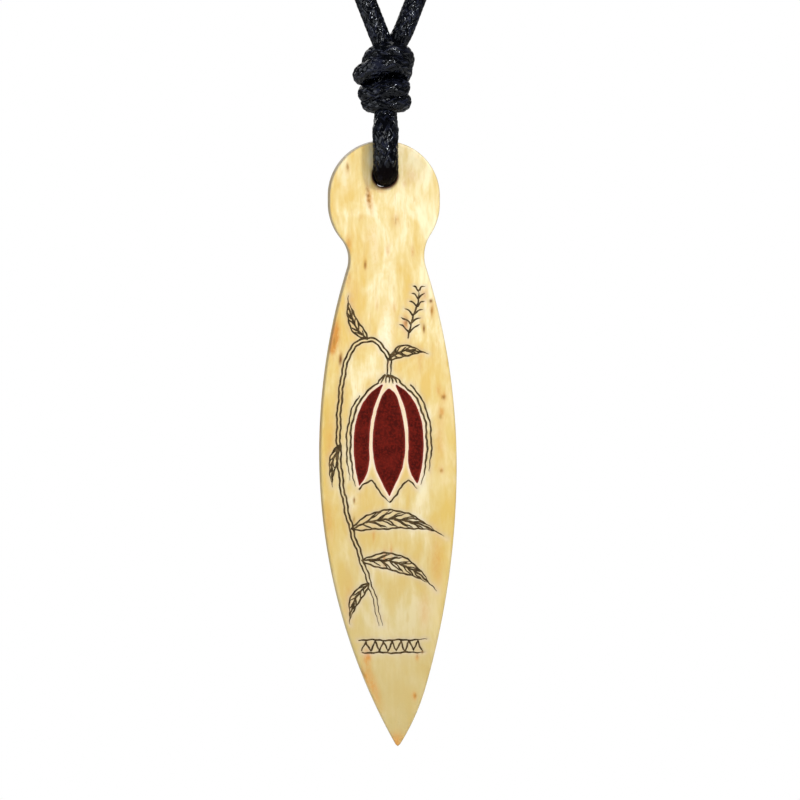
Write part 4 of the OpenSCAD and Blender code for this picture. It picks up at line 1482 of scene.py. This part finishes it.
# Section of the ink in a line: across in half widths, and depth
INK_SECTION = np.array([
    (-1, 0.018), (-0.55, 0.004), (0, 0), (0.55, 0.004), (1, 0.018), (0.6, 0.08), (-0.6, 0.08)])


def inked_line(line, width, number):
    """Points of the strip of ink in one line. Its half width tapers at both ends, swells where
    the tool was set down, and wavers along the way."""
    run = run_along(line)
    share = run / run[-1]
    rng = np.random.default_rng(300 + number)
    first_width, last_width, opening, closing = 0.5, 0.22, 0.1, 0.3
    taper = np.clip(
        np.minimum(share / opening + first_width, (1 - share) / closing + last_width), 0, 1)
    wave, swell, swell_reach = 0.16, 0.5, 0.16
    waver = 1 + wave * np.sin(run * 5.1 + rng.uniform(0, 6)) + swell * faded(run, swell_reach)
    half = 0.5 * width * taper * waver
    ahead = unit(np.gradient(line, axis=0))
    normal = np.stack([-ahead[:, 1], ahead[:, 0]], axis=1)
    place = line[:, None] + normal[:, None] * (half[:, None] * INK_SECTION[:, 0])[..., None]
    x, y = place[..., 0], place[..., 1]
    level = -plate_t(y) / 2 + face_depth(x, y) + INK_SUNK + INK_SECTION[:, 1]
    return to_place(x, y, level).reshape(-1, 3)


class NECKLACE_OT_engraved_lines(Operator):
    """The ink in the engraved lines, one slender closed strip for each."""

    bl_idname = "necklace.engraved_lines"
    bl_label = "Engraved lines"

    def execute(self, context):
        settings = context.scene.necklace_bone
        sides = len(INK_SECTION)
        points, quads, tris = [], [], []
        first = 0
        for number, (line, share) in enumerate(all_strokes()):
            strip = inked_line(line, settings.line_width / MM * share, number)
            faces, _, _ = tube_faces(len(line), sides, first)
            ends = first + len(strip) + np.arange(2)
            quads.append(faces)
            tris += [cap_faces(first, sides, ends[0], False),
                     cap_faces(ends[0] - sides, sides, ends[1], True)]
            points += [strip, strip[:sides].mean(axis=0)[None], strip[-sides:].mean(axis=0)[None]]
            first += len(strip) + 2
        piece = new_piece("engraved_lines", np.vstack(points), [np.vstack(quads), np.vstack(tris)],
                          line_ink(settings))
        face_outwards(piece)
        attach(piece, "pendant")
        return {"FINISHED"}


class NECKLACE_PT_panel(Panel):
    """Lists the steps that build the necklace."""

    bl_idname = "NECKLACE_PT_panel"
    bl_label = "Bone pendant necklace"
    bl_space_type = "VIEW_3D"
    bl_region_type = "UI"
    bl_category = "Necklace"

    def draw(self, context):
        for operator in STEPS:
            self.layout.operator(operator.bl_idname)
        for settings in ("necklace_stage", "necklace_cord", "necklace_bone"):
            group = getattr(context.scene, settings)
            for key in group.bl_rna.properties.keys():
                if key not in ("rna_type", "name"):
                    self.layout.prop(group, key)


STEPS = (
    NECKLACE_OT_stage, NECKLACE_OT_cord, NECKLACE_OT_nape_knot, NECKLACE_OT_bone_plate,
    NECKLACE_OT_red_bud, NECKLACE_OT_engraved_lines)
GROUPS = {
    "necklace_stage": StageSettings, "necklace_cord": CordSettings, "necklace_bone": BoneSettings}


def register():
    """Makes the settings, the operators and the panel known to Blender."""
    for cls in (*GROUPS.values(), *STEPS, NECKLACE_PT_panel):
        bpy.utils.register_class(cls)
    for name, group in GROUPS.items():
        setattr(bpy.types.Scene, name, PointerProperty(type=group))


def unregister():
    """Takes them out again, in the opposite order."""
    for name in GROUPS:
        delattr(bpy.types.Scene, name)
    for cls in reversed((*GROUPS.values(), *STEPS, NECKLACE_PT_panel)):
        bpy.utils.unregister_class(cls)


def main():
    register()
    bpy.ops.necklace.stage()
    bpy.ops.necklace.cord()
    bpy.ops.necklace.nape_knot()
    bpy.ops.necklace.bone_plate()
    bpy.ops.necklace.red_bud()
    bpy.ops.necklace.engraved_lines()


if __name__ == "__main__":
    main()
